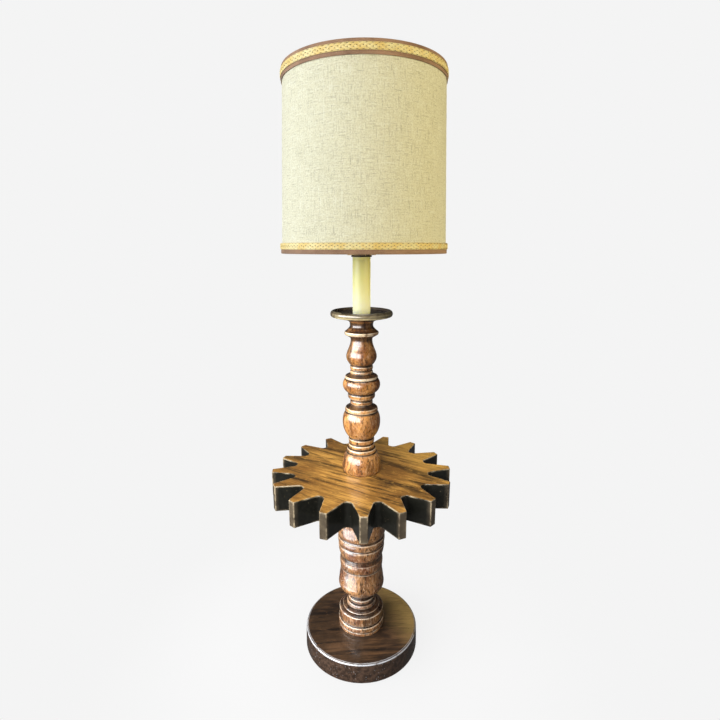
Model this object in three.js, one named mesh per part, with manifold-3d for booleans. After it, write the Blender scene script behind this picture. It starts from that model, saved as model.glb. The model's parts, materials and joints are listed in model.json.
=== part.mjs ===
// Floor lamp with a gear-shaped table: turned wooden columns, a sixteen-tooth table, a candle
// sleeve on a drip dish, and a drum shade carried by a harp. Millimetres, +Z up, the origin on the
// floor under the lamp pipe. The front of the lamp faces -Y.
import * as THREE from 'three';
import { mergeVertices } from 'three/addons/utils/BufferGeometryUtils.js';
import Module from 'manifold-3d';

const wasm = await Module();
wasm.setup();

// ---------------------------------------------------------------- driving dimensions
const CLEAR = 0.3;                 // gap between touching pieces that are cut or turned
const PIPE_RADIUS = 5.0;           // lamp pipe, threaded all along
const PIPE_BORE = 3.5;
const WOOD_BORE = PIPE_RADIUS + CLEAR;

const FELT = 2.0;
const BASE_RADIUS = 152.4;         // 12 in disc
const BASE_TOP = 58.0;
const BASE_EDGE = 8.0;             // radius of the rounded top edge
const RECESS_RADIUS = 32.0;        // pocket under the base for the nut
const RECESS_TOP = 16.0;
const CORD_HEIGHT = 9.0;           // height of the cord channel

const LOWER_HEIGHT = 389.9;
const GEAR_THICKNESS = 64.5;       // 2.5 in, nominally
const GEAR_ROOT = 170.0;
const TOOTH_TIP_HALF = 0.0385;     // radians either side of a tooth's middle, at the tip
const GAP_ROOT_HALF = 0.0474;      // radians either side of a gap's middle, at the root
// The teeth are sawn by hand. For each one from the front tooth round towards +X: how far it is
// turned on from an even sixteenth, in degrees, and how far out its tip reaches.
const TOOTH_CUT = [
  [1.1, 230], [0.3, 230], [0.7, 227.5], [2.4, 227], [2.3, 228], [2.8, 228], [3.8, 228], [3.6, 228],
  [3.4, 228], [3.2, 226], [3.2, 224], [3.4, 222.5], [2.4, 228], [0.4, 229], [1.0, 228.6], [1.1, 230],
];
const TEETH = TOOTH_CUT.length;
const TIP_ROUND = 2.2;
const ROOT_ROUND = 11.0;
const ARRIS = 1.2;                 // broken edge round the table
const SEAT_RADIUS = 48.0;          // shallow seat in the table for the upper column's foot
const SEAT_DEPTH = 1.5;

const UPPER_HEIGHT = 384.6;
const DISH_FLOOR = 17.0;           // height of the dish's floor above its seat
const CANDLE_RADIUS = 21.1;
const CANDLE_BORE = 19.3;
const CANDLE_LENGTH = 131.5;
const CAP_RADIUS = 24.2;
const CAP_THICKNESS = 4.0;

const HARP_HEIGHT = 356.0;         // 14 in harp
const HARP_WIRE = 2.3;             // wire radius
const HARP_FOOT = 28.5;            // half the distance between the harp's feet
const HARP_BELLY = 57.0;           // half the harp's greatest width
const HARP_LEAN = 5.3;             // the harp leans this far to +X at its top
const FERRULE_RADIUS = 4.8;
const FERRULE_LENGTH = 15.0;

const SHADE_BOTTOM = 1053.4;
const SHADE_HEIGHT = 380.0;        // 15 in
const SHADE_TOP_RADIUS = 172.9;    // inside of the lining at the top edge, a 14 in shade
const SHADE_BOTTOM_RADIUS = 185.6; // inside of the lining at the bottom edge, a 15 in shade
const LINING = 0.8;
const FABRIC = 1.0;
const RIBBON = 1.6;
const BRAID = 2.0;
const LAYER_GAP = 0.2;
const TOP_BAND = 27.0;             // height of the trim at the top edge
const BOTTOM_BAND = 23.0;
const BRAID_WIDTH = 14.0;
const HEM_TURN = 8.0;              // how far the ribbon turns inside the shade
const RING_WIRE = 1.7;
const SPIDER_DROP = 25.0;          // the hub hangs this far below the shade's top edge

// heights worked out from the stack
const LOWER_BOTTOM = BASE_TOP;
const GEAR_BOTTOM = LOWER_BOTTOM + LOWER_HEIGHT;
const GEAR_TOP = GEAR_BOTTOM + GEAR_THICKNESS;
const DISH_BOTTOM = GEAR_TOP + UPPER_HEIGHT;
const CANDLE_BOTTOM = DISH_BOTTOM + DISH_FLOOR;
const CAP_BOTTOM = CANDLE_BOTTOM + CANDLE_LENGTH;
const SADDLE_BOTTOM = CAP_BOTTOM + CAP_THICKNESS;
const SADDLE_TOP = SADDLE_BOTTOM + 2.0;
const HARP_TOP = SADDLE_BOTTOM + HARP_HEIGHT;
const SHADE_TOP = SHADE_BOTTOM + SHADE_HEIGHT;
const HUB_BOTTOM = SHADE_TOP - SPIDER_DROP;
const SOCKET_BOTTOM = SADDLE_TOP + 4.3;
const SWITCH_HEIGHT = SOCKET_BOTTOM + 25.0;

// smoothness
const WOOD_SIDES = 22;
const METAL_SIDES = 16;
const SHADE_SIDES = 36;

// ---------------------------------------------------------------- geometry helpers

// One closed body: shared corners merged, collapsed triangles dropped, faces pointing out.
function closed(geometry) {
  const source = geometry.index ? geometry.toNonIndexed() : geometry.clone();
  source.deleteAttribute('normal');
  source.deleteAttribute('uv');
  const merged = mergeVertices(source, 1e-4);
  const at = merged.attributes.position;
  const corner = (i) => new THREE.Vector3().fromBufferAttribute(at, i);
  const kept = [];
  let volume = 0;
  for (let i = 0; i < merged.index.count; i += 3) {
    const [a, b, c] = [0, 1, 2].map((k) => merged.index.getX(i + k));
    if (a === b || b === c || c === a) continue;
    kept.push([a, b, c]);
    volume += corner(a).dot(corner(b).cross(corner(c)));
  }
  const order = volume < 0 ? ([a, b, c]) => [a, c, b] : (face) => face;
  merged.setIndex(kept.flatMap(order));
  return merged;
}

function solid(geometry) {
  const body = closed(geometry);
  return new wasm.Manifold(new wasm.Mesh({
    numProp: 3,
    vertProperties: Float32Array.from(body.attributes.position.array),
    triVerts: Uint32Array.from(body.index.array),
  }));
}

function fromSolid(manifold) {
  const mesh = manifold.getMesh();
  const geometry = new THREE.BufferGeometry();
  geometry.setAttribute('position', new THREE.BufferAttribute(new Float32Array(mesh.vertProperties), 3));
  geometry.setIndex(Array.from(mesh.triVerts));
  return geometry;
}

const cut = (body, ...tools) => fromSolid(tools.reduce((left, tool) => left.subtract(solid(tool)), solid(body)));
const join = (body, ...more) => fromSolid(more.reduce((left, extra) => left.add(solid(extra)), solid(body)));

// A piece turned about the Z axis from a profile of [radius, height] points.
function turn(profile, sides, loop = true) {
  const points = profile.map(([radius, height]) => new THREE.Vector2(radius, height));
  if (loop) points.push(points[0].clone());
  return closed(new THREE.LatheGeometry(points, sides).rotateX(Math.PI / 2));
}

const ring = (inner, outer, low, high, sides = METAL_SIDES) =>
  turn([[inner, low], [outer, low], [outer, high], [inner, high]], sides);

const rod = (radius, low, high, sides = METAL_SIDES) =>
  turn([[0, low], [radius, low], [radius, high], [0, high]], sides, false);

// A bar along Y between two depths, at a height.
function crossBar(radius, near, far, height, sides = METAL_SIDES) {
  return closed(rod(radius, near, far, sides).rotateX(-Math.PI / 2).translate(0, 0, height));
}

// A round wire along a curve.
function wire(curve, radius, steps, sides = 8) {
  const section = new THREE.Shape();
  for (let i = 0; i < sides; i += 1) {
    const angle = (i / sides) * 2 * Math.PI;
    section[i ? 'lineTo' : 'moveTo'](radius * Math.cos(angle), radius * Math.sin(angle));
  }
  return closed(new THREE.ExtrudeGeometry(section, { steps, bevelEnabled: false, extrudePath: curve }));
}

// A hexagon nut round the pipe.
function hexNut(across, low, high) {
  return cut(rod(across / Math.sqrt(3), low, high, 6), rod(WOOD_BORE, low - 1, high + 1, 12));
}

// The mouldings of a turned piece, from its foot up. Each step is [radius, height] for a straight
// line, ['bead', radius, height, swell] for a half-round (a negative swell is a cove), or
// ['vase', [radius, height], ...] for one smooth curve through the points.
function mouldings(steps, fineness = 2) {
  const points = [];
  for (const step of steps) {
    if (step[0] === 'bead') {
      const [, radius, height, swell] = step;
      const [r0, h0] = points.at(-1);
      for (let i = 1; i <= fineness; i += 1) {
        const angle = (Math.PI * i) / fineness;
        const along = (1 - Math.cos(angle)) / 2;
        points.push([r0 + (radius - r0) * along + swell * Math.sin(angle), h0 + (height - h0) * along]);
      }
    } else if (step[0] === 'vase') {
      const through = [points.at(-1), ...step.slice(1)].map(([r, h]) => new THREE.Vector3(r, h, 0));
      const curve = new THREE.CatmullRomCurve3(through, false, 'centripetal');
      for (const p of curve.getPoints(through.length - 1).slice(1)) points.push([p.x, p.y]);
    } else {
      points.push(step);
    }
  }
  return points;
}

const turnedWood = (steps, height, foot = 0) =>
  turn([[WOOD_BORE, foot], ...mouldings(steps), [WOOD_BORE, height]], WOOD_SIDES);

// ---------------------------------------------------------------- finishes
const finish = (color, roughness, metalness = 0) => ({ color, roughness, metalness });
const DARK_WOOD = finish(0x34231a, 0.32);
const COLUMN_WOOD = finish(0x7c4324, 0.3);
const TABLE_WOOD = finish(0x7d552c, 0.4);
const DISH_WOOD = finish(0x3c2417, 0.25);
const STEEL = finish(0x9a9a98, 0.35, 1);
const BRASS = finish(0xb08d4a, 0.3, 1);
const BRONZE = finish(0x2b211a, 0.4, 1);
const ALUMINIUM = finish(0xc4c4c2, 0.35, 1);
const BLACK_PLASTIC = finish(0x15130f, 0.45);
const CANDLE_PLASTIC = finish(0xe9e0a6, 0.4);
const BOARD = finish(0x8b7a5c, 0.9);
const FELT_CLOTH = finish(0x2d3a2a, 1);
const LINING_SHEET = finish(0xece5cd, 0.7);
const SHADE_CLOTH = finish(0xd9d0a6, 0.95);
const RIBBON_CLOTH = finish(0x6b4528, 0.8);
const BRAID_CLOTH = finish(0xc79a3f, 0.75);
const BULB_GLASS = finish(0xf4f1e6, 0.2);

const lamp = new THREE.Group();

function add(name, geometry, look, parent = lamp) {
  const mesh = new THREE.Mesh(geometry, new THREE.MeshStandardMaterial(look));
  mesh.name = name;
  parent.add(mesh);
  return mesh;
}

// ---------------------------------------------------------------- base
function makeBase() {
  const edge = [];
  for (let i = 0; i <= 5; i += 1) {
    const angle = (Math.PI / 2) * (i / 5);
    edge.push([BASE_RADIUS - 1 - BASE_EDGE * (1 - Math.cos(angle)), BASE_TOP - BASE_EDGE * (1 - Math.sin(angle))]);
  }
  const disc = turn([
    [WOOD_BORE, RECESS_TOP], [RECESS_RADIUS, RECESS_TOP], [RECESS_RADIUS, FELT], [BASE_RADIUS - 2, FELT],
    [BASE_RADIUS, FELT + 2], ...edge, [WOOD_BORE, BASE_TOP],
  ], 40);
  const channel = crossBar(4.5, RECESS_RADIUS - 4, BASE_RADIUS + 4, CORD_HEIGHT, 12);
  add('base_disc', cut(disc, channel), DARK_WOOD);
  add('base_felt', rod(BASE_RADIUS - 3.4, 0, FELT, 48), FELT_CLOTH);

  const collar = BASE_RADIUS + CLEAR;
  const bushing = join(
    crossBar(4.2, collar - 12, collar + 1, CORD_HEIGHT, 12),
    crossBar(6.6, collar, collar + 2.5, CORD_HEIGHT, 12),
  );
  add('cord_bushing', cut(bushing, crossBar(2.8, collar - 20, collar + 20, CORD_HEIGHT, 12)), BLACK_PLASTIC);
}

// ---------------------------------------------------------------- pipe and its nuts
function makePipe() {
  add('threaded_pipe', ring(PIPE_BORE, PIPE_RADIUS, 5, SOCKET_BOTTOM + 6, 24), STEEL);
  add('base_washer', ring(WOOD_BORE, 19, RECESS_TOP - 2, RECESS_TOP), STEEL);
  add('base_nut', hexNut(14.3, RECESS_TOP - 6.5, RECESS_TOP - 2), STEEL);
  add('dish_washer', ring(WOOD_BORE, 13, CANDLE_BOTTOM, CANDLE_BOTTOM + 1.6), STEEL);
  add('dish_nut', hexNut(14.3, CANDLE_BOTTOM + 1.6, CANDLE_BOTTOM + 6.1), STEEL);
}

// ---------------------------------------------------------------- turned wood
function makeColumns() {
  const lower = [
    [61, 0], [61, 7.4], [59.4, 8.6],
    ['bead', 59.4, 23.4, 2.8], [57.8, 24.8], [59.2, 26.4], [59.2, 50],
    ['bead', 52, 56.6, 1.8], [49.4, 57],
    ['bead', 43.4, 62.6, 1.8], [38.6, 63.4],
    ['bead', 35.6, 73.6, 2.4], [32.8, 74.8],
    ['bead', 32.8, 85.6, 2.2], [31.6, 86.8],
    ['vase', [32.6, 92], [37.6, 99], [46, 106], [53.6, 112.4], [58.8, 120.5], [60.8, 130], [59.6, 140],
      [58, 154], [56.2, 166], [55.4, 178]],
    [54.4, 180],
    ['bead', 55.8, 204, 1.8], [55.2, 206], [55.2, 217],
    ['bead', 60, 246, 2.0], [58.4, 248.5],
    ['bead', 60.4, 269, 2.4], [59, 271.5],
    ['vase', [62.4, 280], [64, 295], [64.6, 312], [61.4, 330], [54, 342], [43, 350]],
    ['bead', 39.5, 364, -2.0], [43, 365],
    ['bead', 43, 374, 2.6], [46, 375], [55, 377],
    ['bead', 55, LOWER_HEIGHT - 1, 3.4], [54, LOWER_HEIGHT],
  ];
  add('lower_column', turnedWood(lower, LOWER_HEIGHT), COLUMN_WOOD).position.z = LOWER_BOTTOM;

  const upper = [
    [46.8, -SEAT_DEPTH], [46.8, 0.8],
    ['vase', [48.6, 5], [49.2, 11], [48.6, 20], [46.6, 32], [43, 43], [38.4, 50]], [36, 51],
    ['bead', 34.2, 61.2, 1.8], [31.4, 62.2],
    ['bead', 31, 72.8, 1.8], [29.6, 73.6], [29.6, 74.8],
    ['bead', 31, 87.6, 2.0], [30.2, 88.8],
    ['vase', [34.2, 94], [40.6, 104], [45.4, 117], [47, 130], [46.2, 143], [43.6, 152], [41, 157.4]], [39.2, 158.6],
    ['bead', 37.4, 169.6, 2.4], [35.4, 170.4],
    ['bead', 26.6, 176.6, -1.8],
    ['bead', 26.2, 187.6, 1.6], [26, 189],
    [30.6, 191.4], [31.6, 193],
    ['bead', 32.2, 204.4, 1.8], [32.6, 206],
    ['vase', [37, 209.4], [43, 216], [45.8, 224], [45.6, 231.4], [43.2, 237.8], [40.6, 241.6]], [39, 242.6],
    ['bead', 37, 250, 2.4], [35, 250.8],
    ['bead', 26.8, 254.4, -1.2],
    ['bead', 26, 262.6, 1.6], [25.6, 263.4], [25.6, 264],
    ['bead', 26.4, 274.8, 2.0], [26.4, 275.8],
    ['vase', [31, 281], [35.8, 290], [37.1, 297.5], [35.4, 307], [31, 318], [27.4, 329], [26.2, 338], [27, 343.5]],
    [38.4, 350.5],
    ['bead', 39.2, 359, 2.4],
    ['vase', [33, 364.5], [28.8, 369.5], [27.8, 374], [28.4, 379], [31, UPPER_HEIGHT]],
  ];
  add('upper_column', turnedWood(upper, UPPER_HEIGHT, -SEAT_DEPTH), COLUMN_WOOD).position.z = GEAR_TOP;

  const dish = [
    [33, 0], ['vase', [42, 3.6], [56, 6.4], [66, 8.6]],
    ['vase', [72.4, 10.8], [74.6, 16], [73, 21.4], [69, 24.2], [65, 22.8], [62.2, 18.8], [58.8, DISH_FLOOR]],
  ];
  add('drip_dish', turnedWood(dish, DISH_FLOOR), DISH_WOOD).position.z = DISH_BOTTOM;
}

// ---------------------------------------------------------------- gear table

// The outline of the table: straight-sided teeth with every corner rounded by an arc.
function gearOutline() {
  const corners = [];
  const at = (radius, angle) => new THREE.Vector2(radius * Math.sin(angle), -radius * Math.cos(angle));
  const rootRadius = GEAR_ROOT / Math.cos(GAP_ROOT_HALF);
  const turned = (tooth) => (tooth * 2 * Math.PI) / TEETH + THREE.MathUtils.degToRad(TOOTH_CUT[tooth % TEETH][0]);
  TOOTH_CUT.forEach(([, reach], tooth) => {
    const middle = turned(tooth);
    const gap = (middle + turned(tooth + 1)) / 2;
    corners.push({ p: at(reach, middle - TOOTH_TIP_HALF), round: TIP_ROUND });
    corners.push({ p: at(reach, middle + TOOTH_TIP_HALF), round: TIP_ROUND });
    corners.push({ p: at(rootRadius, gap - GAP_ROOT_HALF), round: ROOT_ROUND });
    corners.push({ p: at(rootRadius, gap + GAP_ROOT_HALF), round: ROOT_ROUND });
  });
  const outline = [];
  corners.forEach(({ p, round }, i) => {
    const back = corners.at(i - 1).p.clone().sub(p).normalize();
    const ahead = corners[(i + 1) % corners.length].p.clone().sub(p).normalize();
    const half = back.angleTo(ahead) / 2;
    const centre = back.clone().add(ahead).setLength(round / Math.sin(half)).add(p);
    const start = back.multiplyScalar(round / Math.tan(half)).add(p).sub(centre);
    const end = ahead.multiplyScalar(round / Math.tan(half)).add(p).sub(centre);
    const sweep = Math.atan2(start.cross(end), start.dot(end));
    const steps = round > TIP_ROUND ? 3 : 1;
    for (let k = 0; k <= steps; k += 1) {
      outline.push(start.clone().rotateAround(new THREE.Vector2(), (sweep * k) / steps).add(centre));
    }
  });
  return outline;
}

function makeTable() {
  const board = new THREE.ExtrudeGeometry(new THREE.Shape(gearOutline()), {
    depth: GEAR_THICKNESS - 2 * ARRIS,
    bevelSize: ARRIS,
    bevelOffset: -ARRIS,
    bevelThickness: ARRIS,
    bevelSegments: 1,
  });
  board.translate(0, 0, ARRIS);
  const bore = rod(WOOD_BORE, -5, GEAR_THICKNESS + 5, 24);
  const seat = rod(SEAT_RADIUS, GEAR_THICKNESS - SEAT_DEPTH, GEAR_THICKNESS + 5, 48);
  add('gear_table', cut(board, bore, seat), TABLE_WOOD).position.z = GEAR_BOTTOM;
}

// ---------------------------------------------------------------- candle
function makeCandle() {
  add('candle_sleeve', ring(CANDLE_BORE, CANDLE_RADIUS, CANDLE_BOTTOM, CAP_BOTTOM, 32), CANDLE_PLASTIC);
  const cap = turn([
    [WOOD_BORE, -3], [CANDLE_BORE - 0.5, -3], [CANDLE_BORE - 0.5, 0], [CAP_RADIUS - 1, 0],
    [CAP_RADIUS, 1], [CAP_RADIUS, CAP_THICKNESS - 1.4], [CAP_RADIUS - 1.4, CAP_THICKNESS],
    [WOOD_BORE, CAP_THICKNESS],
  ], 32);
  add('candle_cap', cap, BRONZE).position.z = CAP_BOTTOM;
}

// ---------------------------------------------------------------- lamp socket and bulb
function makeSocket() {
  const low = SOCKET_BOTTOM;
  add('saddle_nut', hexNut(14.3, SADDLE_TOP, SADDLE_TOP + 4), STEEL);

  const cup = [
    [WOOD_BORE, 0], [8, 0], [8, 5], [11, 6.5], [15.4, 10], [17.3, 14], [17.3, 19], [16.6, 19], [16.6, 14],
    [14.8, 10.8], [10.6, 8], [WOOD_BORE, 7],
  ];
  add('socket_cap', turn(cup, 24), BRASS).position.z = low;

  const bossReach = -21;
  const shaftHole = crossBar(2.3, -30, 0, SWITCH_HEIGHT, 12);
  const shell = join(
    ring(15.6, 16.2, low + 14.3, low + 60, 24),
    crossBar(4.6, bossReach, -15.8, SWITCH_HEIGHT, 12),
  );
  add('socket_shell', cut(shell, shaftHole), BRASS);
  add('socket_insulator', cut(ring(14.9, 15.3, low + 13, low + 58, 24), shaftHole), BOARD);
  add('socket_body', cut(
    ring(1.6, 14.5, low + 13, low + 37, 24),
    shaftHole,
  ), BLACK_PLASTIC);
  add('screw_shell', ring(13.5, 14.3, low + 37 + CLEAR, low + 57, 24), ALUMINIUM);
  add('centre_contact', rod(3, low + 37, low + 38.6, 12), BRASS);

  const stem = low + 39;
  const bulbCap = [
    [0, 0], [4.4, 0], [5.4, 1.6], [11.6, 3.4], [13.1, 5.2], [13.1, 24], [0, 24],
  ];
  add('bulb_cap', turn(bulbCap, 24, false), ALUMINIUM).position.z = stem;
  const glass = mouldings([
    [12.8, 24.3], ['vase', [14.6, 33], [20, 46], [27, 60], [30.2, 76], [27.4, 92], [19.6, 103], [9, 109]],
  ]);
  const wall = 1.2;
  const inside = glass.map(([r, h]) => [r - wall, h > 90 ? h - wall : h]).toReversed();
  const top = 110.5;
  const envelope = turn([...glass, [0, top], [0, top - wall], ...inside], 24);
  add('bulb_glass', envelope, BULB_GLASS).position.z = stem;
}

// The knob turns the rotary switch about the Y axis.
function makeSwitch() {
  add('switch_shaft', crossBar(1.9, -27, -4, SWITCH_HEIGHT, 12), STEEL);
  const grip = turn([[2.2, 0], [6.4, 0], [6.4, 3], [5.2, 5], [4.6, 15], [3.8, 16], [0, 16], [0, 5.2], [2.2, 5.2]],
    METAL_SIDES);
  const knob = closed(grip.rotateX(Math.PI / 2));
  const mesh = add('switch_knob', knob, BLACK_PLASTIC);
  mesh.position.set(0, -22, SWITCH_HEIGHT);
}

// ---------------------------------------------------------------- harp
const JOINT_HEIGHT = SADDLE_TOP + 17;   // where the harp's feet meet the saddle's posts

function makeHarp() {
  const plate = new THREE.BoxGeometry(2 * HARP_FOOT + 9, 14, SADDLE_TOP - SADDLE_BOTTOM);
  plate.translate(0, 0, (SADDLE_BOTTOM + SADDLE_TOP) / 2);
  const posts = [-1, 1].map((side) =>
    rod(HARP_WIRE, SADDLE_BOTTOM + 0.5, JOINT_HEIGHT, 12).translate(side * HARP_FOOT, 0, 0));
  const hole = rod(WOOD_BORE, SADDLE_BOTTOM - 5, SADDLE_TOP + 5);
  add('harp_saddle', cut(join(plate, ...posts), hole), BRASS);

  const rise = HARP_TOP - HARP_WIRE - JOINT_HEIGHT - CLEAR;
  const half = [[HARP_FOOT, 0], [HARP_FOOT, 0.08], [HARP_FOOT + 6, 0.19], [HARP_BELLY - 3, 0.42],
    [HARP_BELLY, 0.6], [HARP_BELLY - 7, 0.78], [34, 0.93], [20, 0.99], [9, 1]];
  const point = (side) => ([across, up]) =>
    new THREE.Vector3(side * across + HARP_LEAN * up * up, 0, JOINT_HEIGHT + CLEAR + rise * up);
  const path = [...half.map(point(-1)), ...half.toReversed().map(point(1))];
  const curve = new THREE.CatmullRomCurve3(path, false, 'centripetal');
  add('harp', wire(curve, HARP_WIRE, 40, 6), BRASS);

  const stud = turn([[0, 0], [8, 0], [8, 2], [3.1, 2.6], [3.1, 17], [2.4, 18], [0, 18]], 16, false);
  add('harp_stud', stud, BRASS).position.set(HARP_LEAN, 0, HARP_TOP + CLEAR);

  for (const [name, side] of [['harp_ferrule_left', -1], ['harp_ferrule_right', 1]]) {
    const low = JOINT_HEIGHT - FERRULE_LENGTH + 3;
    const bore = HARP_WIRE + 0.6;
    const ferrule = turn([
      [bore, 0], [FERRULE_RADIUS, 0], [FERRULE_RADIUS, 3], [FERRULE_RADIUS - 0.7, 4],
      [FERRULE_RADIUS - 0.7, FERRULE_LENGTH - 2], [bore + 0.7, FERRULE_LENGTH], [bore, FERRULE_LENGTH],
    ], 16);
    add(name, ferrule, BRASS).position.set(side * HARP_FOOT, 0, low);
  }
}

// ---------------------------------------------------------------- shade

// Radius of a layer of the shade, from its distance out from the lining's inside, at a height.
function shadeRadius(height, out) {
  const down = (SHADE_TOP - height) / SHADE_HEIGHT;
  return SHADE_TOP_RADIUS + (SHADE_BOTTOM_RADIUS - SHADE_TOP_RADIUS) * down + out;
}

const FABRIC_OUT = LINING + LAYER_GAP;
const RIBBON_OUT = FABRIC_OUT + FABRIC + LAYER_GAP;
const BRAID_OUT = RIBBON_OUT + RIBBON + LAYER_GAP;

function shadeBand(low, high, out, thickness) {
  return turn([
    [shadeRadius(low, out), low], [shadeRadius(low, out + thickness), low],
    [shadeRadius(high, out + thickness), high], [shadeRadius(high, out), high],
  ], SHADE_SIDES);
}

// A ribbon folded over the shade's edge, from its lower outside corner round the hem.
function hemRibbon(edge, band, inward) {
  const into = Math.sign(band);
  const inside = -(2 * RING_WIRE + 3 * CLEAR);
  const at = (out, height) => [shadeRadius(height, out), height];
  const fold = edge + into * RIBBON;
  const profile = [
    at(RIBBON_OUT, edge + band), at(RIBBON_OUT + RIBBON, edge + band), at(RIBBON_OUT + RIBBON, edge + into * 0.5),
    at(RIBBON_OUT + RIBBON - 0.6, edge), at(inside - RIBBON + 0.6, edge), at(inside - RIBBON, edge + into * 0.5),
    at(inside - RIBBON, edge + into * inward), at(inside, edge + into * inward), at(inside, fold),
    at(RIBBON_OUT, fold),
  ];
  return turn(profile, SHADE_SIDES);
}

function shadeRing(edge, into) {
  const height = edge + into * (RIBBON + CLEAR + RING_WIRE);
  const radius = shadeRadius(height, -(RING_WIRE + 1.5 * CLEAR));
  const section = [];
  for (let i = 0; i < 6; i += 1) {
    const angle = ((i + 0.5) / 6) * 2 * Math.PI;
    section.push([radius + RING_WIRE * Math.cos(angle), height + RING_WIRE * Math.sin(angle)]);
  }
  return { geometry: turn(section, SHADE_SIDES), radius, height };
}

function makeShade() {
  const shade = new THREE.Group();
  shade.position.x = HARP_LEAN;
  lamp.add(shade);

  const hem = RIBBON + LAYER_GAP;
  const low = SHADE_BOTTOM + hem;
  const high = SHADE_TOP - hem;
  add('shade_lining', shadeBand(low, high, 0, LINING), LINING_SHEET, shade);
  add('shade_fabric', shadeBand(low, high, FABRIC_OUT, FABRIC), SHADE_CLOTH, shade);
  add('top_ribbon', hemRibbon(SHADE_TOP, -TOP_BAND, HEM_TURN), RIBBON_CLOTH, shade);
  add('bottom_ribbon', hemRibbon(SHADE_BOTTOM, BOTTOM_BAND, HEM_TURN), RIBBON_CLOTH, shade);
  const topBraid = SHADE_TOP - (TOP_BAND + BRAID_WIDTH) / 2;
  const bottomBraid = SHADE_BOTTOM + BOTTOM_BAND - BRAID_WIDTH;
  add('top_braid', shadeBand(topBraid, topBraid + BRAID_WIDTH, BRAID_OUT, BRAID), BRAID_CLOTH, shade);
  add('bottom_braid', shadeBand(bottomBraid, bottomBraid + BRAID_WIDTH, BRAID_OUT, BRAID), BRAID_CLOTH, shade);

  const topRing = shadeRing(SHADE_TOP, -1);
  add('top_ring', topRing.geometry, BRASS, shade);
  add('bottom_ring', shadeRing(SHADE_BOTTOM, 1).geometry, BRASS, shade);

  const hubThickness = 2.5;
  const hubRadius = 13;
  add('spider_hub', ring(3.5, hubRadius, HUB_BOTTOM, HUB_BOTTOM + hubThickness), BRASS, shade);
  const armWire = 1.5;
  const top = topRing.height - RING_WIRE - CLEAR;
  const middle = HUB_BOTTOM + hubThickness / 2;
  for (let arm = 0; arm < 3; arm += 1) {
    const path = [
      [hubRadius + CLEAR, middle], [60, middle], [topRing.radius - 24, middle], [topRing.radius - 8, middle + 2],
      [topRing.radius - 1, middle + 9], [topRing.radius, top - 4], [topRing.radius, top],
    ];
    const curve = new THREE.CatmullRomCurve3(path.map(([r, z]) => new THREE.Vector3(r, 0, z)), false, 'centripetal');
    const angle = Math.PI / 2 + (arm * 2 * Math.PI) / 3;
    add(`spider_arm_${arm + 1}`, wire(curve, armWire, 14, 6), BRASS, shade).rotation.z = angle;
  }

  const knob = turn([
    [3.5, 0], [7.5, 0], [8, 1.5], [6, 4], [8.6, 7], [10, 11], [8.8, 15], [5.6, 18.4], [0, 19.6], [0, 16], [3.5, 16],
  ], METAL_SIDES);
  add('finial', knob, BRASS).position.set(HARP_LEAN, 0, HUB_BOTTOM + hubThickness + CLEAR);
}

makeBase();
makePipe();
makeColumns();
makeTable();
makeCandle();
makeSocket();
makeSwitch();
makeHarp();
makeShade();

export default lamp;
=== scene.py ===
"""Floor lamp with a gear-shaped table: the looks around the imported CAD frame. Metres, +Z up."""
import json
from math import acos, atan2, copysign, cos, hypot, pi, radians, sin, tan

import bpy
import numpy as np
from mathutils import Matrix, Vector

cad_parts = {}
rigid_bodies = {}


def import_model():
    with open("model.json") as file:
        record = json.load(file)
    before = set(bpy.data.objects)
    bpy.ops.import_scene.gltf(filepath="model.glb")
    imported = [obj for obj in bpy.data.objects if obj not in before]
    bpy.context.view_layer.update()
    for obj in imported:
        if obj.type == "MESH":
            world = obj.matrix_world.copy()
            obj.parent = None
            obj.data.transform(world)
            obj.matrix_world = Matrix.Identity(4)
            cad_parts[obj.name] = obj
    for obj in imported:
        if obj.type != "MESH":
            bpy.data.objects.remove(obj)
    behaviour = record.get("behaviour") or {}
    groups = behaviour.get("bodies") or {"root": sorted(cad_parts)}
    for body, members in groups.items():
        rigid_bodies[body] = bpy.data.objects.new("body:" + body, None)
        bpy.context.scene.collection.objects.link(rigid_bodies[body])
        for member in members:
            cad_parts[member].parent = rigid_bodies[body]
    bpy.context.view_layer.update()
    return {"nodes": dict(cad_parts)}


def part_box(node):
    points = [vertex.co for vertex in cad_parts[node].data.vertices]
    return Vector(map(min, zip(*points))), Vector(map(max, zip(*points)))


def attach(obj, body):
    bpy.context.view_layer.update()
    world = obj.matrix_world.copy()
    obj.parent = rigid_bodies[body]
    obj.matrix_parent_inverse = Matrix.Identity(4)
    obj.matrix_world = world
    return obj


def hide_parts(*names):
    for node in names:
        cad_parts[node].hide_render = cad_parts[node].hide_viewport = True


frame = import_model()
nodes = frame["nodes"]

# ---------------- driving sizes, in millimetres
MM = 0.001
CORNER = 0.6               # round of a turned piece's sharp corners
COLUMN_SIDES = 112
WOOD_BORE = 5.3            # radius of the hole for the pipe
BASE_RADIUS = 152.4
BASE_EDGE = 8.0            # round of the base's top edge
POCKET_RADIUS = 32.0       # the pocket for the nut under the base
POCKET_TOP = 16.0
CHANNEL_RADIUS = 4.5       # the channel for a cord, from the pocket to the back
CHANNEL_HEIGHT = 9.0
GEAR_ROOT = 170.0
TOOTH_TIP_HALF = 0.0385    # half a tooth's tip, in radians
GAP_ROOT_HALF = 0.0474     # half a gap's bottom, in radians
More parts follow.
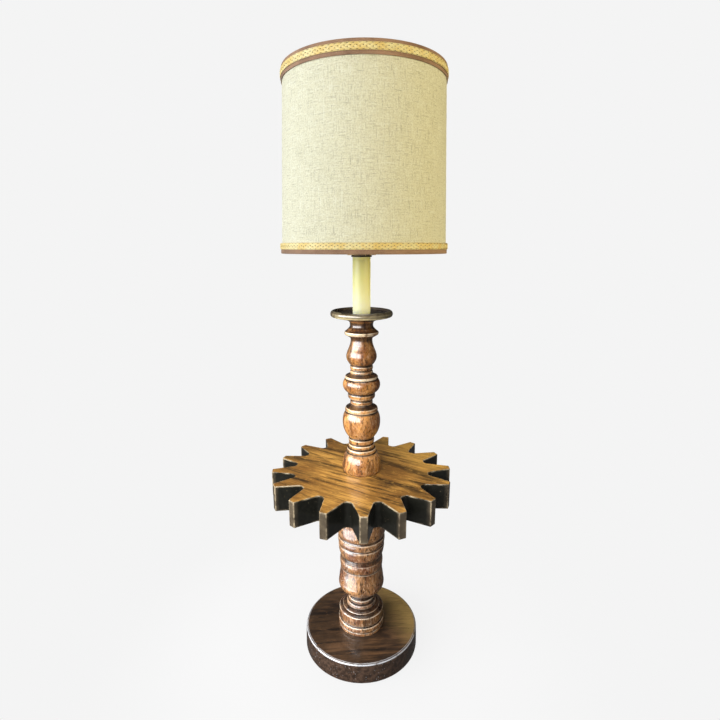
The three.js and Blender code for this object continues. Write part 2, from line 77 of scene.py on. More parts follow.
# for each tooth, how far it is turned from its even place, in degrees, and how far out it reaches
TOOTH_CUT = [
    (1.1, 230), (0.3, 230), (0.7, 227.5), (2.4, 227), (2.3, 228), (2.8, 228), (3.8, 228), (3.6, 228),
    (3.4, 228), (3.2, 226), (3.2, 224), (3.4, 222.5), (2.4, 228), (0.4, 229), (1.0, 228.6), (1.1, 230),
]
TEETH = len(TOOTH_CUT)
TIP_ROUND = 2.2
ROOT_ROUND = 11.0
ARRIS = 1.2                # round of the table's edges
SEAT_RADIUS = 48.0         # the upper column stands in a shallow seat in the table
SEAT_DEPTH = 1.5
CANDLE_WALL = 1.8
SOCKET_WALL = 0.6
SOCKET_RADIUS = 16.2
SOCKET_MOUTH = 14.3        # where the socket's shell starts above its cap
SWITCH_OUT = 22.0          # how far in front of the axis the switch's knob starts
SCREW_PITCH = 3.0
HARP_WIRE = 2.3
HARP_FOOT = 28.5
HARP_BELLY = 57.0
HARP_LEAN = 5.3            # how far the top of the harp, and so the shade, leans to the right
HARP_JOINT = 17.0          # from the saddle's top to the harp's feet
FERRULE_DROP = 12.0        # from the harp's feet down to a ferrule's foot
FITTED = 0.3               # gap between pieces that fit together
SHADE_TOP_RADIUS = 172.9
SHADE_BOTTOM_RADIUS = 185.6
LINING = 0.8
FABRIC = 1.0
RIBBON = 1.6
TOP_BAND = 27.0            # the ribbons' widths outside the shade
BOTTOM_BAND = 23.0
BRAID = 2.0
BRAID_WIDTH = 14.0
BRAID_PERIODS = 32         # plait repeats round the shade
LAYER_GAP = 0.2
RING_WIRE = 1.7
SPIDER_WIRE = 1.5
THREAD_PITCH = 0.0013      # the burlap's threads, in metres
RIB_PITCH = 0.0011         # the ribbon's ribs, in metres


def low(node):
    """The height of a CAD node's lowest point."""
    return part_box(node)[0].z / MM


def high(node):
    """The height of a CAD node's highest point."""
    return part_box(node)[1].z / MM


# heights read from the frame, in millimetres
BASE_TOP = high("base_disc")
GEAR_BOTTOM = low("gear_table")
GEAR_TOP = high("gear_table")
DISH_BOTTOM = low("drip_dish")
CANDLE_BOTTOM = low("candle_sleeve")
CAP_BOTTOM = high("candle_sleeve")
SADDLE_BOTTOM = low("harp_saddle")
SADDLE_TOP = low("saddle_nut")
SOCKET_BOTTOM = low("socket_cap")
HARP_TOP = high("harp")
HUB_BOTTOM = low("spider_hub")
SHADE_BOTTOM = low("bottom_ribbon")
SHADE_TOP = high("top_ribbon")
SWITCH_HEIGHT = (low("switch_knob") + high("switch_knob")) / 2
SHADE_HEIGHT = SHADE_TOP - SHADE_BOTTOM
CLOTH_BOTTOM = SHADE_BOTTOM + RIBBON + LAYER_GAP
CLOTH_TOP = SHADE_TOP - RIBBON - LAYER_GAP
FABRIC_OUT = LINING + LAYER_GAP
RIBBON_OUT = FABRIC_OUT + FABRIC + LAYER_GAP
BRAID_OUT = RIBBON_OUT + RIBBON + LAYER_GAP
SHADE_CENTRE = (HARP_LEAN, 0, 0)


# ---------------- mesh helpers
def show(obj):
    bpy.context.scene.collection.objects.link(obj)


def new_object(name, verts, faces, sharp=40.0):
    """A mesh object from points in millimetres."""
    mesh = bpy.data.meshes.new(name)
    mesh.from_pydata([tuple(v) for v in np.asarray(verts, float) * MM], [], faces)
    mesh.validate()
    mesh.update()
    mesh.shade_smooth()
    mesh.set_sharp_from_angle(angle=radians(sharp))
    obj = bpy.data.objects.new(name, mesh)
    show(obj)
    return obj


def place(obj, body, slot, material, *replaced):
    """Gives a piece its body and its finish, and hides the CAD nodes that it stands for."""
    obj.data.materials.append(material)
    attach(obj, body)
    if replaced:
        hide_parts(*replaced)
    return obj


def paint(obj, name, values):
    """A number for each point, which the materials read."""
    layer = obj.data.attributes.get(name) or obj.data.attributes.new(name, "FLOAT", "POINT")
    layer.data.foreach_set("value", np.asarray(values, np.float32))


def radii_and_heights(obj):
    """Each point's distance from the lamp's axis, and its height."""
    return np.array([(hypot(v.co.x, v.co.y), v.co.z) for v in obj.data.vertices]).T / MM


def round_points(count):
    """Evenly spaced angles round a circle."""
    return np.linspace(0, 2 * pi, count, endpoint=False)


def unit(vectors):
    return vectors / np.linalg.norm(vectors, axis=-1, keepdims=True)


def ramp(values, start, end):
    """0 up to start, 1 from end, and straight between them."""
    return np.clip((values - start) / (end - start), 0, 1)


def smooth_curve(points, steps):
    """Points on the centripetal Catmull-Rom curve through points, steps to each stretch."""
    p = np.asarray(points, float)
    p = np.vstack([2 * p[0] - p[1], p, 2 * p[-1] - p[-2]])
    found = [p[1]]
    for i in range(1, len(p) - 2):
        p0, p1, p2, p3 = p[i - 1:i + 3]
        pairs = ((p0, p1), (p1, p2), (p2, p3))
        d0, d1, d2 = (max(np.linalg.norm(b - a) ** 0.5, 1e-6) for a, b in pairs)
        t1 = ((p1 - p0) / d0 - (p2 - p0) / (d0 + d1) + (p2 - p1) / d1) * d1
        t2 = ((p2 - p1) / d1 - (p3 - p1) / (d1 + d2) + (p3 - p2) / d2) * d1
        for k in range(1, steps + 1):
            t = k / steps
            square, cube = 3 * (p2 - p1) - 2 * t1 - t2, 2 * (p1 - p2) + t1 + t2
            found.append(p1 + t1 * t + square * t ** 2 + cube * t ** 3)
    return found


def mouldings(steps, fineness=12, curve_steps=8):
    """The mouldings of a turned piece, foot first. Each step is (radius, height) for a straight line,
    ("bead", radius, height, swell) for a half-round, or ("vase", (radius, height), ...) for a curve."""
    points = []
    for step in steps:
        if step[0] == "bead":
            radius, height, swell = step[1:]
            r0, h0 = points[-1]
            for i in range(1, fineness + 1):
                angle = pi * i / fineness
                along = (1 - cos(angle)) / 2
                out = swell * sin(angle)
                points.append((r0 + (radius - r0) * along + out, h0 + (height - h0) * along))
        elif step[0] == "vase":
            points += [tuple(p) for p in smooth_curve([points[-1], *step[1:]], curve_steps)[1:]]
        else:
            points.append(tuple(step))
    return points


def soften(profile, radius=0.5, steps=3, closed=False):
    """The profile with each sharp corner turned into a small arc."""
    p = [np.array(q, float) for q in profile]
    found = []
    for i, here in enumerate(p):
        if not closed and i in (0, len(p) - 1):
            found.append(here)
            continue
        back, ahead = p[i - 1] - here, p[(i + 1) % len(p)] - here
        lb, la = np.linalg.norm(back), np.linalg.norm(ahead)
        turn = pi - acos(np.clip(back @ ahead / (lb * la), -1, 1))
        if turn < radians(28):
            found.append(here)
            continue
        reach = min(radius, 0.4 * lb, 0.4 * la)
        start, end = here + back / lb * reach, here + ahead / la * reach
        for k in range(steps + 1):
            t = k / steps
            found.append((1 - t) ** 2 * start + 2 * t * (1 - t) * here + t ** 2 * end)
    return found


def spaced(profile, near=1.7):
    """The profile with a point just inside each end of its long straight stretches, so that painted wear
    and highlight, glaze and shade stay near the corners."""
    found = [np.array(profile[0], float)]
    for start, end in zip(profile, profile[1:]):
        start, end = np.array(start, float), np.array(end, float)
        length = np.linalg.norm(end - start)
        if length > 2.6 * near:
            step = (end - start) * near / length
            found += [start + step, end - step]
        found.append(end)
    return found


def relief(profile, reach):
    """How far each profile point stands out from the line through its neighbours at that reach, in mm."""
    p = np.asarray(profile, float)
    length = np.concatenate([[0], np.cumsum(np.linalg.norm(np.diff(p, axis=0), axis=1))])
    at = lambda s: np.stack([np.interp(s, length, p[:, k]) for k in (0, 1)], 1)
    before = at(np.clip(length - reach, 0, None))
    after = at(np.clip(length + reach, None, length[-1]))
    along = after - before
    out = np.stack([along[:, 1], -along[:, 0]], 1)
    out /= np.maximum(np.linalg.norm(out, axis=1, keepdims=True), 1e-9)
    return ((p - (before + after) / 2) * out).sum(1)


def lathe(name, outside, inside=(), sides=96, centre=(0, 0, 0), axis="Z", closed=True, marks=True):
    """A turned piece. outside runs up the visible face and inside closes the loop. Where closed is False,
    the profile starts and ends on the axis. With marks, points carry wear and painted highlight (crests),
    and glaze and painted shade (hollows and upward-facing ledges)."""
    outside = [np.array(p, float) for p in outside]
    loop = outside + [np.array(p, float) for p in inside]
    n = len(loop)
    verts, index = [], []
    for r, z in loop:
        if r < 1e-6:
            index.append([len(verts)] * sides)
            verts.append((0, 0, z))
        else:
            index.append(list(range(len(verts), len(verts) + sides)))
            verts += [(r * cos(a), r * sin(a), z) for a in round_points(sides)]
    faces = []
    for i in range(n if closed else n - 1):
        a, b = index[i], index[(i + 1) % n]
        for k in range(sides):
            m = (k + 1) % sides
            corner = list(dict.fromkeys([a[k], a[m], b[m], b[k]]))
            if len(corner) > 2:
                faces.append(corner)
    verts = np.array(verts, float)
    if axis == "-Y":
        verts = np.stack([verts[:, 0], -verts[:, 2], verts[:, 1]], 1)
    obj = new_object(name, verts + np.array(centre, float), faces)
    if marks:
        fine, middle, broad = relief(outside, 1.6), relief(outside, 3.2), relief(outside, 7.0)
        p = np.array(outside)
        along = np.gradient(p, axis=0)
        facing_up = -along[:, 0] / np.maximum(np.linalg.norm(along, axis=1), 1e-9)
        # painted shade and glaze: hollows and upward-facing ledges are marked to take the dark glaze colour
        ledge = ramp(facing_up, 0.55, 0.80)
        hollow = np.maximum(ramp(-broad, 0.10, 1.20), ledge)
        # crests: rubbed wear and painted highlight
        crest = np.maximum(ramp(fine, 0.10, 0.45), ramp(middle, 0.45, 1.05)) * (1 - ledge)
        times = [1 if radius < 1e-6 else sides for radius, _ in loop]
        for label, values in (("wear", crest), ("glaze", hollow)):
            paint(obj, label, np.repeat([*values, *[0.0] * len(inside)], times))
    return obj


def tube(name, path, radius, sides=10, closed=False, section=None, up=None):
    """A wire, or a strand with its own section of (across, out) points, along a path."""
    p = np.asarray(path, float)
    n = len(p)
    tangent = unit(np.roll(p, -1, 0) - np.roll(p, 1, 0) if closed else np.gradient(p, axis=0))
    if up is None:
        seed = np.array([0.0, 1.0, 0.0]) if abs(tangent[0][1]) < 0.9 else np.array([1.0, 0.0, 0.0])
        ups = []
        for t in tangent:
            seed = unit(seed - t * (seed @ t))
            ups.append(seed)
        up = np.array(ups)
    else:
        up = unit(up - tangent * (up * tangent).sum(1, keepdims=True))
    side = np.cross(tangent, up)
    if section is None:
        section = [(radius * cos(a), radius * sin(a)) for a in round_points(sides)]
    m = len(section)
    verts = np.stack([p + side * a + up * b for a, b in section], 1).reshape(-1, 3)
    faces = []
    for i in range(n if closed else n - 1):
        j = (i + 1) % n
        faces += [(i * m + k, i * m + (k + 1) % m, j * m + (k + 1) % m, j * m + k) for k in range(m)]
    if not closed:
        faces += [tuple(range(m - 1, -1, -1)), tuple((n - 1) * m + k for k in range(m))]
    obj = new_object(name, verts, faces, 60.0)
    along = np.concatenate([[0], np.cumsum(np.linalg.norm(np.diff(p, axis=0), axis=1))])
    paint(obj, "along", np.repeat(along * MM, m))
    paint(obj, "around", np.tile(np.arange(m) / m, n))
    return obj


def joined(name, objects):
    """Several meshes as one piece."""
    bpy.ops.object.select_all(action="DESELECT")
    for obj in objects:
        obj.select_set(True)
    bpy.context.view_layer.objects.active = objects[0]
    bpy.ops.object.join()
    objects[0].name = name
    return objects[0]


def cut(obj, tool):
    """Takes tool's shape out of obj."""
    modifier = obj.modifiers.new("cut", "BOOLEAN")
    modifier.operation = "DIFFERENCE"
    modifier.solver = "EXACT"
    modifier.object = tool
    bpy.context.view_layer.objects.active = obj
    bpy.ops.object.modifier_apply(modifier=modifier.name)
    bpy.data.objects.remove(tool)
    return obj


# ---------------- material helpers
class Shader:
    """Short ways to add nodes to the shader tree of a material or a world."""

    def __init__(self, owner):
        owner.use_nodes = True
        self.tree = owner.node_tree

    def node(self, kind, inputs=None, **settings):
        node = self.tree.nodes.new("ShaderNode" + kind)
        for key, value in settings.items():
            setattr(node, key, value)
        for key, value in (inputs or {}).items():
            if isinstance(value, bpy.types.NodeSocket):
                self.tree.links.new(value, node.inputs[key])
            else:
                node.inputs[key].default_value = value
        return node

    def add(self, kind, inputs=None, **settings):
        return self.node(kind, inputs, **settings).outputs[0]

    def spot(self):
        return self.node("TexCoord").outputs["Object"]

    def mark(self, name):
        return self.node("Attribute", attribute_name=name).outputs["Fac"]

    def math(self, operation, a, b=0.0):
        return self.add("Math", {0: a, 1: b}, operation=operation)

    def times(self, a, b):
        return self.math("MULTIPLY", a, b)

    def larger(self, a, b):
        return self.math("MAXIMUM", a, b)

    def waves(self, value, pitch):
        """From -1 to 1 and back, once for two pitches along value."""
        return self.math("SINE", self.times(value, pi / pitch))

    def ridges(self, value, pitch):
        """A row of rounded ridges from 0 to 1, one for each pitch along value."""
        return self.math("ABSOLUTE", self.waves(value, pitch))

    def span(self, value, start, end, low=0.0, high=1.0, kind="SMOOTHSTEP"):
        """value from start..end to low..high, and flat outside."""
        inputs = {"Value": value, "From Min": start, "From Max": end, "To Min": low, "To Max": high}
        return self.add("MapRange", inputs, interpolation_type=kind)

    def mix(self, factor, a, b):
        four = lambda v: (*v, 1.0) if isinstance(v, tuple) else v
        return self.node("Mix", {0: factor, 6: four(a), 7: four(b)}, data_type="RGBA").outputs[2]

    def stretch(self, vector, x, y, z):
        return self.add("VectorMath", {0: vector, 1: (x, y, z)}, operation="MULTIPLY")

    def noise(self, vector, scale, detail=3.0, roughness=0.55, distortion=0.0):
        inputs = {"Vector": vector, "Scale": scale, "Detail": detail}
        inputs.update({"Roughness": roughness, "Distortion": distortion})
        return self.add("TexNoise", inputs)

    def dots(self, vector, scale, radius, share):
        """Round specks, radius as a share of the spacing, in that share of the cells."""
        cells = self.node("TexVoronoi", {"Vector": vector, "Scale": scale, "Randomness": 1.0}).outputs
        chosen = self.add("SeparateColor", {0: cells["Color"]})
        inside = self.span(cells["Distance"], radius, radius * 0.5)
        return self.times(inside, self.math("LESS_THAN", chosen, share))

    def by_camera(self, seen, other):
        """One shader where the camera sees it, and another for everything else."""
        camera_ray = self.node("LightPath").outputs["Is Camera Ray"]
        return self.add("MixShader", {0: camera_ray, 1: other, 2: seen})


class Look(Shader):
    """A piece's material in the making. Its colour is built up in layers."""

    def __init__(self, name, **surface):
        self.material = bpy.data.materials.new(name)
        super().__init__(self.material)
        self.surface = self.tree.nodes["Principled BSDF"]
        for socket, value in surface.items():
            self.surface.inputs[socket.replace("_", " ")].default_value = value

    def lay(self, colour, factor):
        """Lays another colour over what is there."""
        self.colour = self.mix(factor, self.colour, colour)

    def over(self, colour, value, start, end, share=1.0):
        """Lays another colour over what is there as value goes from start to end, and at most by share."""
        self.lay(colour, self.span(value, start, end, 0.0, share))

    def finish(self, roughness, *bumps):
        """The material, with this roughness unless it is None, and these bumps. Each bump is
        (height, depth in metres), the coarsest first."""
        self.tree.links.new(self.colour, self.surface.inputs["Base Color"])
        if roughness is not None:
            self.tree.links.new(roughness, self.surface.inputs["Roughness"])
        normal = {}
        for height, depth in bumps:
            inputs = {"Height": height, "Distance": depth, "Strength": 1.0, **normal}
            normal = {"Normal": self.add("Bump", inputs)}
        self.tree.links.new(normal["Normal"], self.surface.inputs["Normal"])
        return self.material


VARNISH = {"Coat_Weight": 1.0, "Coat_IOR": 1.5, "IOR": 1.45}


def turned_wood(name, pale, mid, dark, glaze, worn_and_highlit, mottle=0.45, rubbing_and_sheen=0.0):
    """Glossy antiqued wood: grain streaks, glaze and painted shade in hollows and on ledges, rubbed crests
    and pale patches that are partly painted highlight, specks.
    """
    look = Look(name, Coat_Roughness=0.17, **VARNISH)
    p = look.spot()
    blotch = look.noise(look.stretch(p, 1, 1, 0.45), 22, 4, 0.6)
    streak = look.noise(look.stretch(p, 1, 1, 0.07), 210, 5, 0.65, 0.3)
    broad = look.noise(look.stretch(p, 1, 1, 0.10), 48, 3, 0.5, 0.6)
    mottling = look.noise(look.stretch(p, 1, 1, 0.35), 230, 3, 0.6, 0.8)
    look.colour = look.mix(look.span(blotch, 0.33, 0.66), mid, pale)
    look.over(dark, broad, 0.50, 0.72, 0.75)
    look.over(dark, streak, 0.50, 0.74, 0.55)
    look.over(glaze, mottling, 0.50, 0.66, mottle)
    # pale patches: rubbed spots and painted highlight
    look.over(worn_and_highlit, mottling, 0.46, 0.34, rubbing_and_sheen)
    # crests take the pale rubbed colour: wear and painted highlight
    rubbed_and_highlit = look.times(look.mark("wear"), look.span(look.noise(p, 60, 4), 0.30, 0.55, 0.0, 0.80))
    look.lay(worn_and_highlit, rubbed_and_highlit)
    # painted shade: the dark glaze colour is laid in the hollows and on upward-facing ledges
    hollow = look.times(look.mark("glaze"), look.span(look.noise(p, 38, 3), 0.2, 0.75, 0.63, 0.97))
    look.lay(glaze, hollow)
    specks = look.larger(look.dots(p, 110, 0.16, 0.26), look.dots(p, 260, 0.22, 0.20))
    look.lay(glaze, look.times(specks, 0.88))
    roughness = look.span(look.noise(p, 55, 3), 0.3, 0.7, 0.24, 0.40)
    ripple = look.noise(look.stretch(p, 0.6, 0.6, 1.6), 60, 2, 0.5)
    pits = look.math("SUBTRACT", 1.0, specks)
    pores = look.noise(look.stretch(p, 1, 1, 0.04), 900, 2, 0.5)
    return look.finish(roughness, (ripple, 0.0007), (mottling, 0.0005), (pits, 0.0005), (pores, 0.00012))


def board_wood(name, grain, pale, mid, dark, side, tip, worn_and_highlit, golden_reflection, reflection_from, reflection_to, gloss,
               streaking=0.8, swirl=0.5, nicks=0.3, unbroken=0.0):
    """A wide glossy board: streaks along the grain, which is turned by that many degrees, a painted golden
    reflection towards the right, darker stained flanks with nicks, and rubbed edges, which on the base are
    painted highlight lines."""
    look = Look(name, Coat_Roughness=gloss, **VARNISH)
    turn = {"Vector": look.spot(), "Angle": radians(grain)}
    p = look.add("VectorRotate", turn, rotation_type="Z_AXIS")
    wander = look.math("SUBTRACT", look.noise(look.stretch(p, 1, 2.2, 1), 5.5, 3, 0.5), 0.5)
    shift = look.add("CombineXYZ", {1: look.times(wander, 0.05 * swirl)})
    p = look.add("VectorMath", {0: p, 1: shift}, operation="ADD")
    broad = look.noise(look.stretch(p, 0.12, 1, 0.4), 24, 4, 0.6, 0.6)
    medium = look.noise(look.stretch(p, 0.09, 1, 0.4), 62, 3, 0.6, 0.8)
    figure = look.noise(look.stretch(p, 0.055, 1, 0.4), 120, 5, 0.62, 0.3)
    fine = look.noise(look.stretch(p, 0.030, 1, 0.4), 520, 3, 0.6)
    flecks = look.noise(look.stretch(p, 0.18, 1, 1), 300, 2, 0.5, 1.2)
    cloud = look.noise(p, 9, 3, 0.5)
    look.colour = look.mix(look.span(cloud, 0.35, 0.65), mid, pale)
    look.over(mid, figure, 0.40, 0.62, 0.75)
    look.over(dark, broad, 0.51, 0.62, streaking)
    look.over(dark, medium, 0.52, 0.64, streaking)
    # painted reflection: a golden tint laid over the side towards the right
    lean = {0: look.spot(), 1: (0.86, 0.50, 0.0)}
    across = look.node("VectorMath", lean, operation="DOT_PRODUCT").outputs["Value"]
    painted_reflection = look.times(look.span(across, reflection_from, reflection_to), look.span(cloud, 0.24, 0.50, 0.0, 0.8))
    look.lay(golden_reflection, painted_reflection)
    look.over(dark, fine, 0.49, 0.66, 0.62)
    look.over(pale, flecks, 0.56, 0.72, 0.6)
    specks = look.dots(look.stretch(p, 0.5, 1, 1), 130, 0.14, 0.2)
    look.lay(dark, look.times(specks, 0.7))
    edge_noise = look.noise(p, 42, 4, 0.6)
    blotches = look.times(look.span(look.noise(p, 130, 4, 0.6), 0.38, 0.66), nicks)
    stained = look.mix(blotches, side, tuple(3.0 * c for c in side))
    chips = look.times(look.dots(look.spot(), 190, 0.20, nicks * 0.4),
                       look.span(edge_noise, 0.30, 0.50, 0.0, 0.45))
    stained = look.mix(chips, stained, worn_and_highlit)
    stained = look.mix(look.times(look.mark("tip"), 0.8), stained, tip)
    look.lay(stained, look.mark("side"))
    # rubbed edges: real wear on the table, painted highlight lines on the base
    rubbed_and_highlit = look.span(edge_noise, 0.38 - unbroken, 0.62 - unbroken, 0.0, 0.8)
    look.lay(worn_and_highlit, look.times(look.mark("wear"), rubbed_and_highlit))
    roughness = look.span(cloud, 0.3, 0.7, 0.30, 0.44)
    ripple = look.noise(look.stretch(p, 0.4, 1, 1), 40, 2)
    return look.finish(roughness, (ripple, 0.0004), (figure, 0.00015), (fine, 0.00012))


def metal(name, colour, shade, roughness, grain=(1, 1, 1), metallic=1.0):
    """Metal with a faint grain and a duller tarnish in patches."""
    look = Look(name, Metallic=metallic)
    p = look.spot()
    tarnish = look.noise(p, 60, 4, 0.6)
    brush = look.noise(look.stretch(p, *grain), 350, 3, 0.6)
    look.colour = look.mix(look.span(tarnish, 0.42, 0.72), colour, shade)
    look.over(shade, brush, 0.35, 0.75, 0.25)
    return look.finish(look.span(tarnish, 0.3, 0.7, roughness, roughness + 0.16), (brush, 0.00006))


def moulded(name, colour, shade, roughness):
    """Moulded plastic with a fine grain."""
    look = Look(name)
    p = look.spot()
    grain = look.noise(p, 900, 2)
    look.colour = look.mix(look.span(look.noise(p, 30, 3), 0.3, 0.7), colour, shade)
    return look.finish(look.span(grain, 0.3, 0.7, roughness, roughness + 0.12), (grain, 0.00005))


def fibrous(name, colour, shade, pitch, depth, roughness=0.95, sheen=0.0):
    """Felt or board: short fibres lying every way."""
    look = Look(name, Sheen_Weight=sheen, Sheen_Roughness=0.6, Roughness=roughness)
    p = look.spot()
    one = look.noise(look.stretch(p, 1, 0.25, 1), pitch, 4, 0.7, 1.5)
    two = look.noise(look.stretch(p, 0.25, 1, 1), pitch, 4, 0.7, 1.5)
    fibres = look.larger(one, two)
    look.colour = look.mix(look.span(fibres, 0.45, 0.75), shade, colour)
    return look.finish(None, (fibres, depth))


def round_the_shade(look):
    """Distance round the shade from its front, and height, in metres."""
    parts = look.node("SeparateXYZ", {0: look.spot()}).outputs
    x = look.math("SUBTRACT", parts[0], HARP_LEAN * MM)
    angle = look.math("ARCTAN2", x, look.times(parts[1], -1.0))
    return look.times(angle, SHADE_BOTTOM_RADIUS * MM), parts[2]


def burlap(name, base, pale, dark, fleck):
    """Loose plain weave of uneven threads: thin and thick, pale and dark, with a few dark flecks and painted
    shade between the threads.
    """
    look = Look(name, Roughness=0.95, Sheen_Weight=0.25, Sheen_Roughness=0.5)
    across, height = round_the_shade(look)
    flat = look.add("CombineXYZ", {0: across, 1: height})

    def wobbly(way, scale):
        off = look.math("SUBTRACT", look.noise(flat, scale, 2), 0.5)
        return look.math("ADD", way, look.times(off, 0.006))

    def slubs(u_share, v_share, scale):
        threads = look.add("CombineXYZ", {0: look.times(u, u_share), 1: look.times(v, v_share)})
        return look.noise(threads, scale, 3, 0.6)

    def either(one, two, start, end, share):
        return look.larger(*(look.span(threads, start, end, 0.0, share) for threads in (one, two)))

    u, v = wobbly(across, 26), wobbly(height, 19)
    over = look.span(look.times(look.waves(v, THREAD_PITCH), look.waves(u, THREAD_PITCH)), -0.25, 0.25)
    weave = look.add("Mix", {0: over, 2: look.ridges(u, THREAD_PITCH), 3: look.ridges(v, THREAD_PITCH)},
                     data_type="FLOAT")
    weft, warp = slubs(0.09, 1.0, 430), slubs(1.0, 0.09, 430)
    thick_weft, thick_warp = slubs(0.10, 1.0, 150), slubs(1.0, 0.10, 150)
    grain = look.noise(flat, 330, 2, 0.5)
    look.colour = look.mix(either(weft, warp, 0.54, 0.74, 0.75), base, pale)
    look.lay(dark, either(weft, warp, 0.46, 0.27, 0.6))
    look.over(dark, grain, 0.50, 0.66, 0.20)
    look.over(pale, grain, 0.48, 0.34, 0.50)
    look.lay(pale, either(thick_weft, thick_warp, 0.60, 0.72, 0.45))
    # painted shade between the threads of the weave
    look.over(dark, weave, 0.45, 0.0, 0.55)
    look.over(dark, look.noise(flat, 11, 3), 0.45, 0.75, 0.06)
    flecks = look.dots(look.stretch(flat, 1.0, 0.45, 1.0), 75, 0.055, 0.16)
    look.lay(fleck, look.times(flecks, 0.7))
    return look.finish(None, (look.larger(thick_weft, thick_warp), 0.0012),
                       (look.larger(weft, warp), 0.0006), (weave, 0.0003))


def ribbed(name, colour, shade, pale):
    """Grosgrain ribbon: fine ribs across its width, with painted shade between them."""
    look = Look(name, Roughness=0.7, Sheen_Weight=0.35, Sheen_Roughness=0.4)
    across, height = round_the_shade(look)
    ribs = look.ridges(across, RIB_PITCH)
    flat = look.add("CombineXYZ", {0: across, 1: look.times(height, 0.3)})
    thread = look.noise(flat, 700, 2)
    look.colour = look.mix(look.span(look.noise(flat, 14, 3), 0.3, 0.7), shade, colour)
    look.over(pale, thread, 0.5, 0.8, 0.4)
    # painted shade in the valleys between the ribs
    look.over(shade, ribs, 0.5, 0.0, 0.6)
    return look.finish(None, (ribs, 0.00025), (thread, 0.0001))


def plaited(name, colour, shade, pale):
    """Lustrous cords laid side by side along each strand, with painted shade in the grooves between them."""
    look = Look(name, Roughness=0.5, Sheen_Weight=0.4, Sheen_Roughness=0.35)
    yarn = look.math("ADD", look.times(look.mark("around"), 10), look.times(look.mark("along"), 420))
    twist = look.ridges(yarn, 1)
    look.colour = look.mix(look.span(look.noise(look.spot(), 45, 3), 0.35, 0.68), colour, pale)
    # painted shade in the grooves between the cords
    look.over(shade, twist, 0.55, 0.0, 0.7)
    return look.finish(None, (twist, 0.0002))


def wax_plastic(name, top, foot, shade):
    """The candle sleeve: warmer towards its top, and paler at its foot as painted light."""
    look = Look(name, Subsurface_Weight=0.25, Subsurface_Radius=(0.012, 0.010, 0.004), Subsurface_Scale=0.5,
                IOR=1.46)
    p = look.spot()
    height = look.node("SeparateXYZ", {0: p}).outputs[2]
    cloud = look.noise(look.stretch(p, 1, 1, 0.3), 70, 3)
    # painted light: the colour pales towards the foot
    look.colour = look.mix(look.span(height, CANDLE_BOTTOM * MM, (CAP_BOTTOM - 40) * MM), foot, top)
    look.over(shade, cloud, 0.4, 0.75, 0.35)
    return look.finish(look.span(cloud, 0.3, 0.7, 0.34, 0.46), (cloud, 0.0002))


def frosted_glass(name):
    """A soft white bulb: frosted inside, slightly uneven."""
    look = Look(name, Roughness=0.32, IOR=1.5, Transmission_Weight=0.35)
    cloud = look.noise(look.spot(), 45, 3)
    look.colour = look.mix(look.span(cloud, 0.3, 0.7), (0.90, 0.89, 0.83), (0.96, 0.95, 0.90))
    return look.finish(None, (cloud, 0.0001))


COLUMN = turned_wood("column wood", pale=(0.58, 0.265, 0.070), mid=(0.180, 0.058, 0.015),
                     dark=(0.034, 0.011, 0.005), glaze=(0.007, 0.005, 0.004), worn_and_highlit=(0.86, 0.70, 0.46),
                     mottle=0.8, rubbing_and_sheen=0.18)
# a duller copy of the column wood with more pale patches, which stand in partly for its reflections as
# painted highlight
LOW_COLUMN = turned_wood("lower column wood", pale=(0.36, 0.175, 0.066), mid=(0.140, 0.046, 0.018),
                         dark=(0.024, 0.009, 0.006), glaze=(0.006, 0.004, 0.003), worn_and_highlit=(0.74, 0.60, 0.44),
                         mottle=0.9, rubbing_and_sheen=0.30)
DISH = turned_wood("dish wood", pale=(0.050, 0.028, 0.015), mid=(0.026, 0.014, 0.008),
                   dark=(0.010, 0.006, 0.004), glaze=(0.007, 0.005, 0.004), worn_and_highlit=(0.90, 0.75, 0.40))
TABLE = board_wood("table wood", grain=31, pale=(0.60, 0.32, 0.070), mid=(0.22, 0.100, 0.021),
                   dark=(0.020, 0.011, 0.005), side=(0.0065, 0.0065, 0.005), tip=(0.064, 0.049, 0.033),
                   worn_and_highlit=(0.46, 0.37, 0.24), golden_reflection=(0.58, 0.32, 0.064), reflection_from=0.10, reflection_to=0.20,
                   gloss=0.08)
BASE = board_wood("base wood", grain=-6, pale=(0.115, 0.058, 0.026), mid=(0.036, 0.020, 0.010),
                  dark=(0.007, 0.005, 0.004), side=(0.024, 0.014, 0.009), tip=(0.03, 0.02, 0.015),
                  worn_and_highlit=(0.72, 0.74, 0.77), golden_reflection=(0.30, 0.195, 0.060), reflection_from=0.03, reflection_to=0.14,
                  gloss=0.09, streaking=0.75, swirl=0.35, nicks=1.0, unbroken=0.12)
BRASS = metal("brass", (0.72, 0.53, 0.26), (0.42, 0.28, 0.12), 0.22)
STEEL = metal("steel", (0.62, 0.62, 0.60), (0.40, 0.40, 0.40), 0.28, grain=(1, 1, 0.15))
ALUMINIUM = metal("aluminium", (0.78, 0.78, 0.77), (0.58, 0.58, 0.58), 0.30, grain=(0.3, 0.3, 1))
BRONZE = metal("bronze", (0.060, 0.042, 0.026), (0.018, 0.013, 0.010), 0.38, metallic=0.6)
PLASTIC = moulded("black plastic", (0.030, 0.027, 0.024), (0.018, 0.016, 0.014), 0.35)
FELT = fibrous("felt", (0.035, 0.055, 0.030), (0.015, 0.026, 0.014), 900, 0.0004, sheen=0.4)
BOARD = fibrous("board", (0.42, 0.33, 0.21), (0.28, 0.21, 0.12), 1200, 0.0001)
LINER = fibrous("lining sheet", (0.86, 0.81, 0.66), (0.76, 0.71, 0.55), 260, 0.00008, roughness=0.6)
CLOTH = burlap("shade cloth", base=(0.80, 0.76, 0.52), pale=(0.96, 0.95, 0.76), dark=(0.32, 0.28, 0.14),
               fleck=(0.14, 0.09, 0.04))
RIBBON_LOOK = ribbed("ribbon cloth", (0.44, 0.25, 0.135), (0.22, 0.115, 0.055), (0.62, 0.44, 0.28))
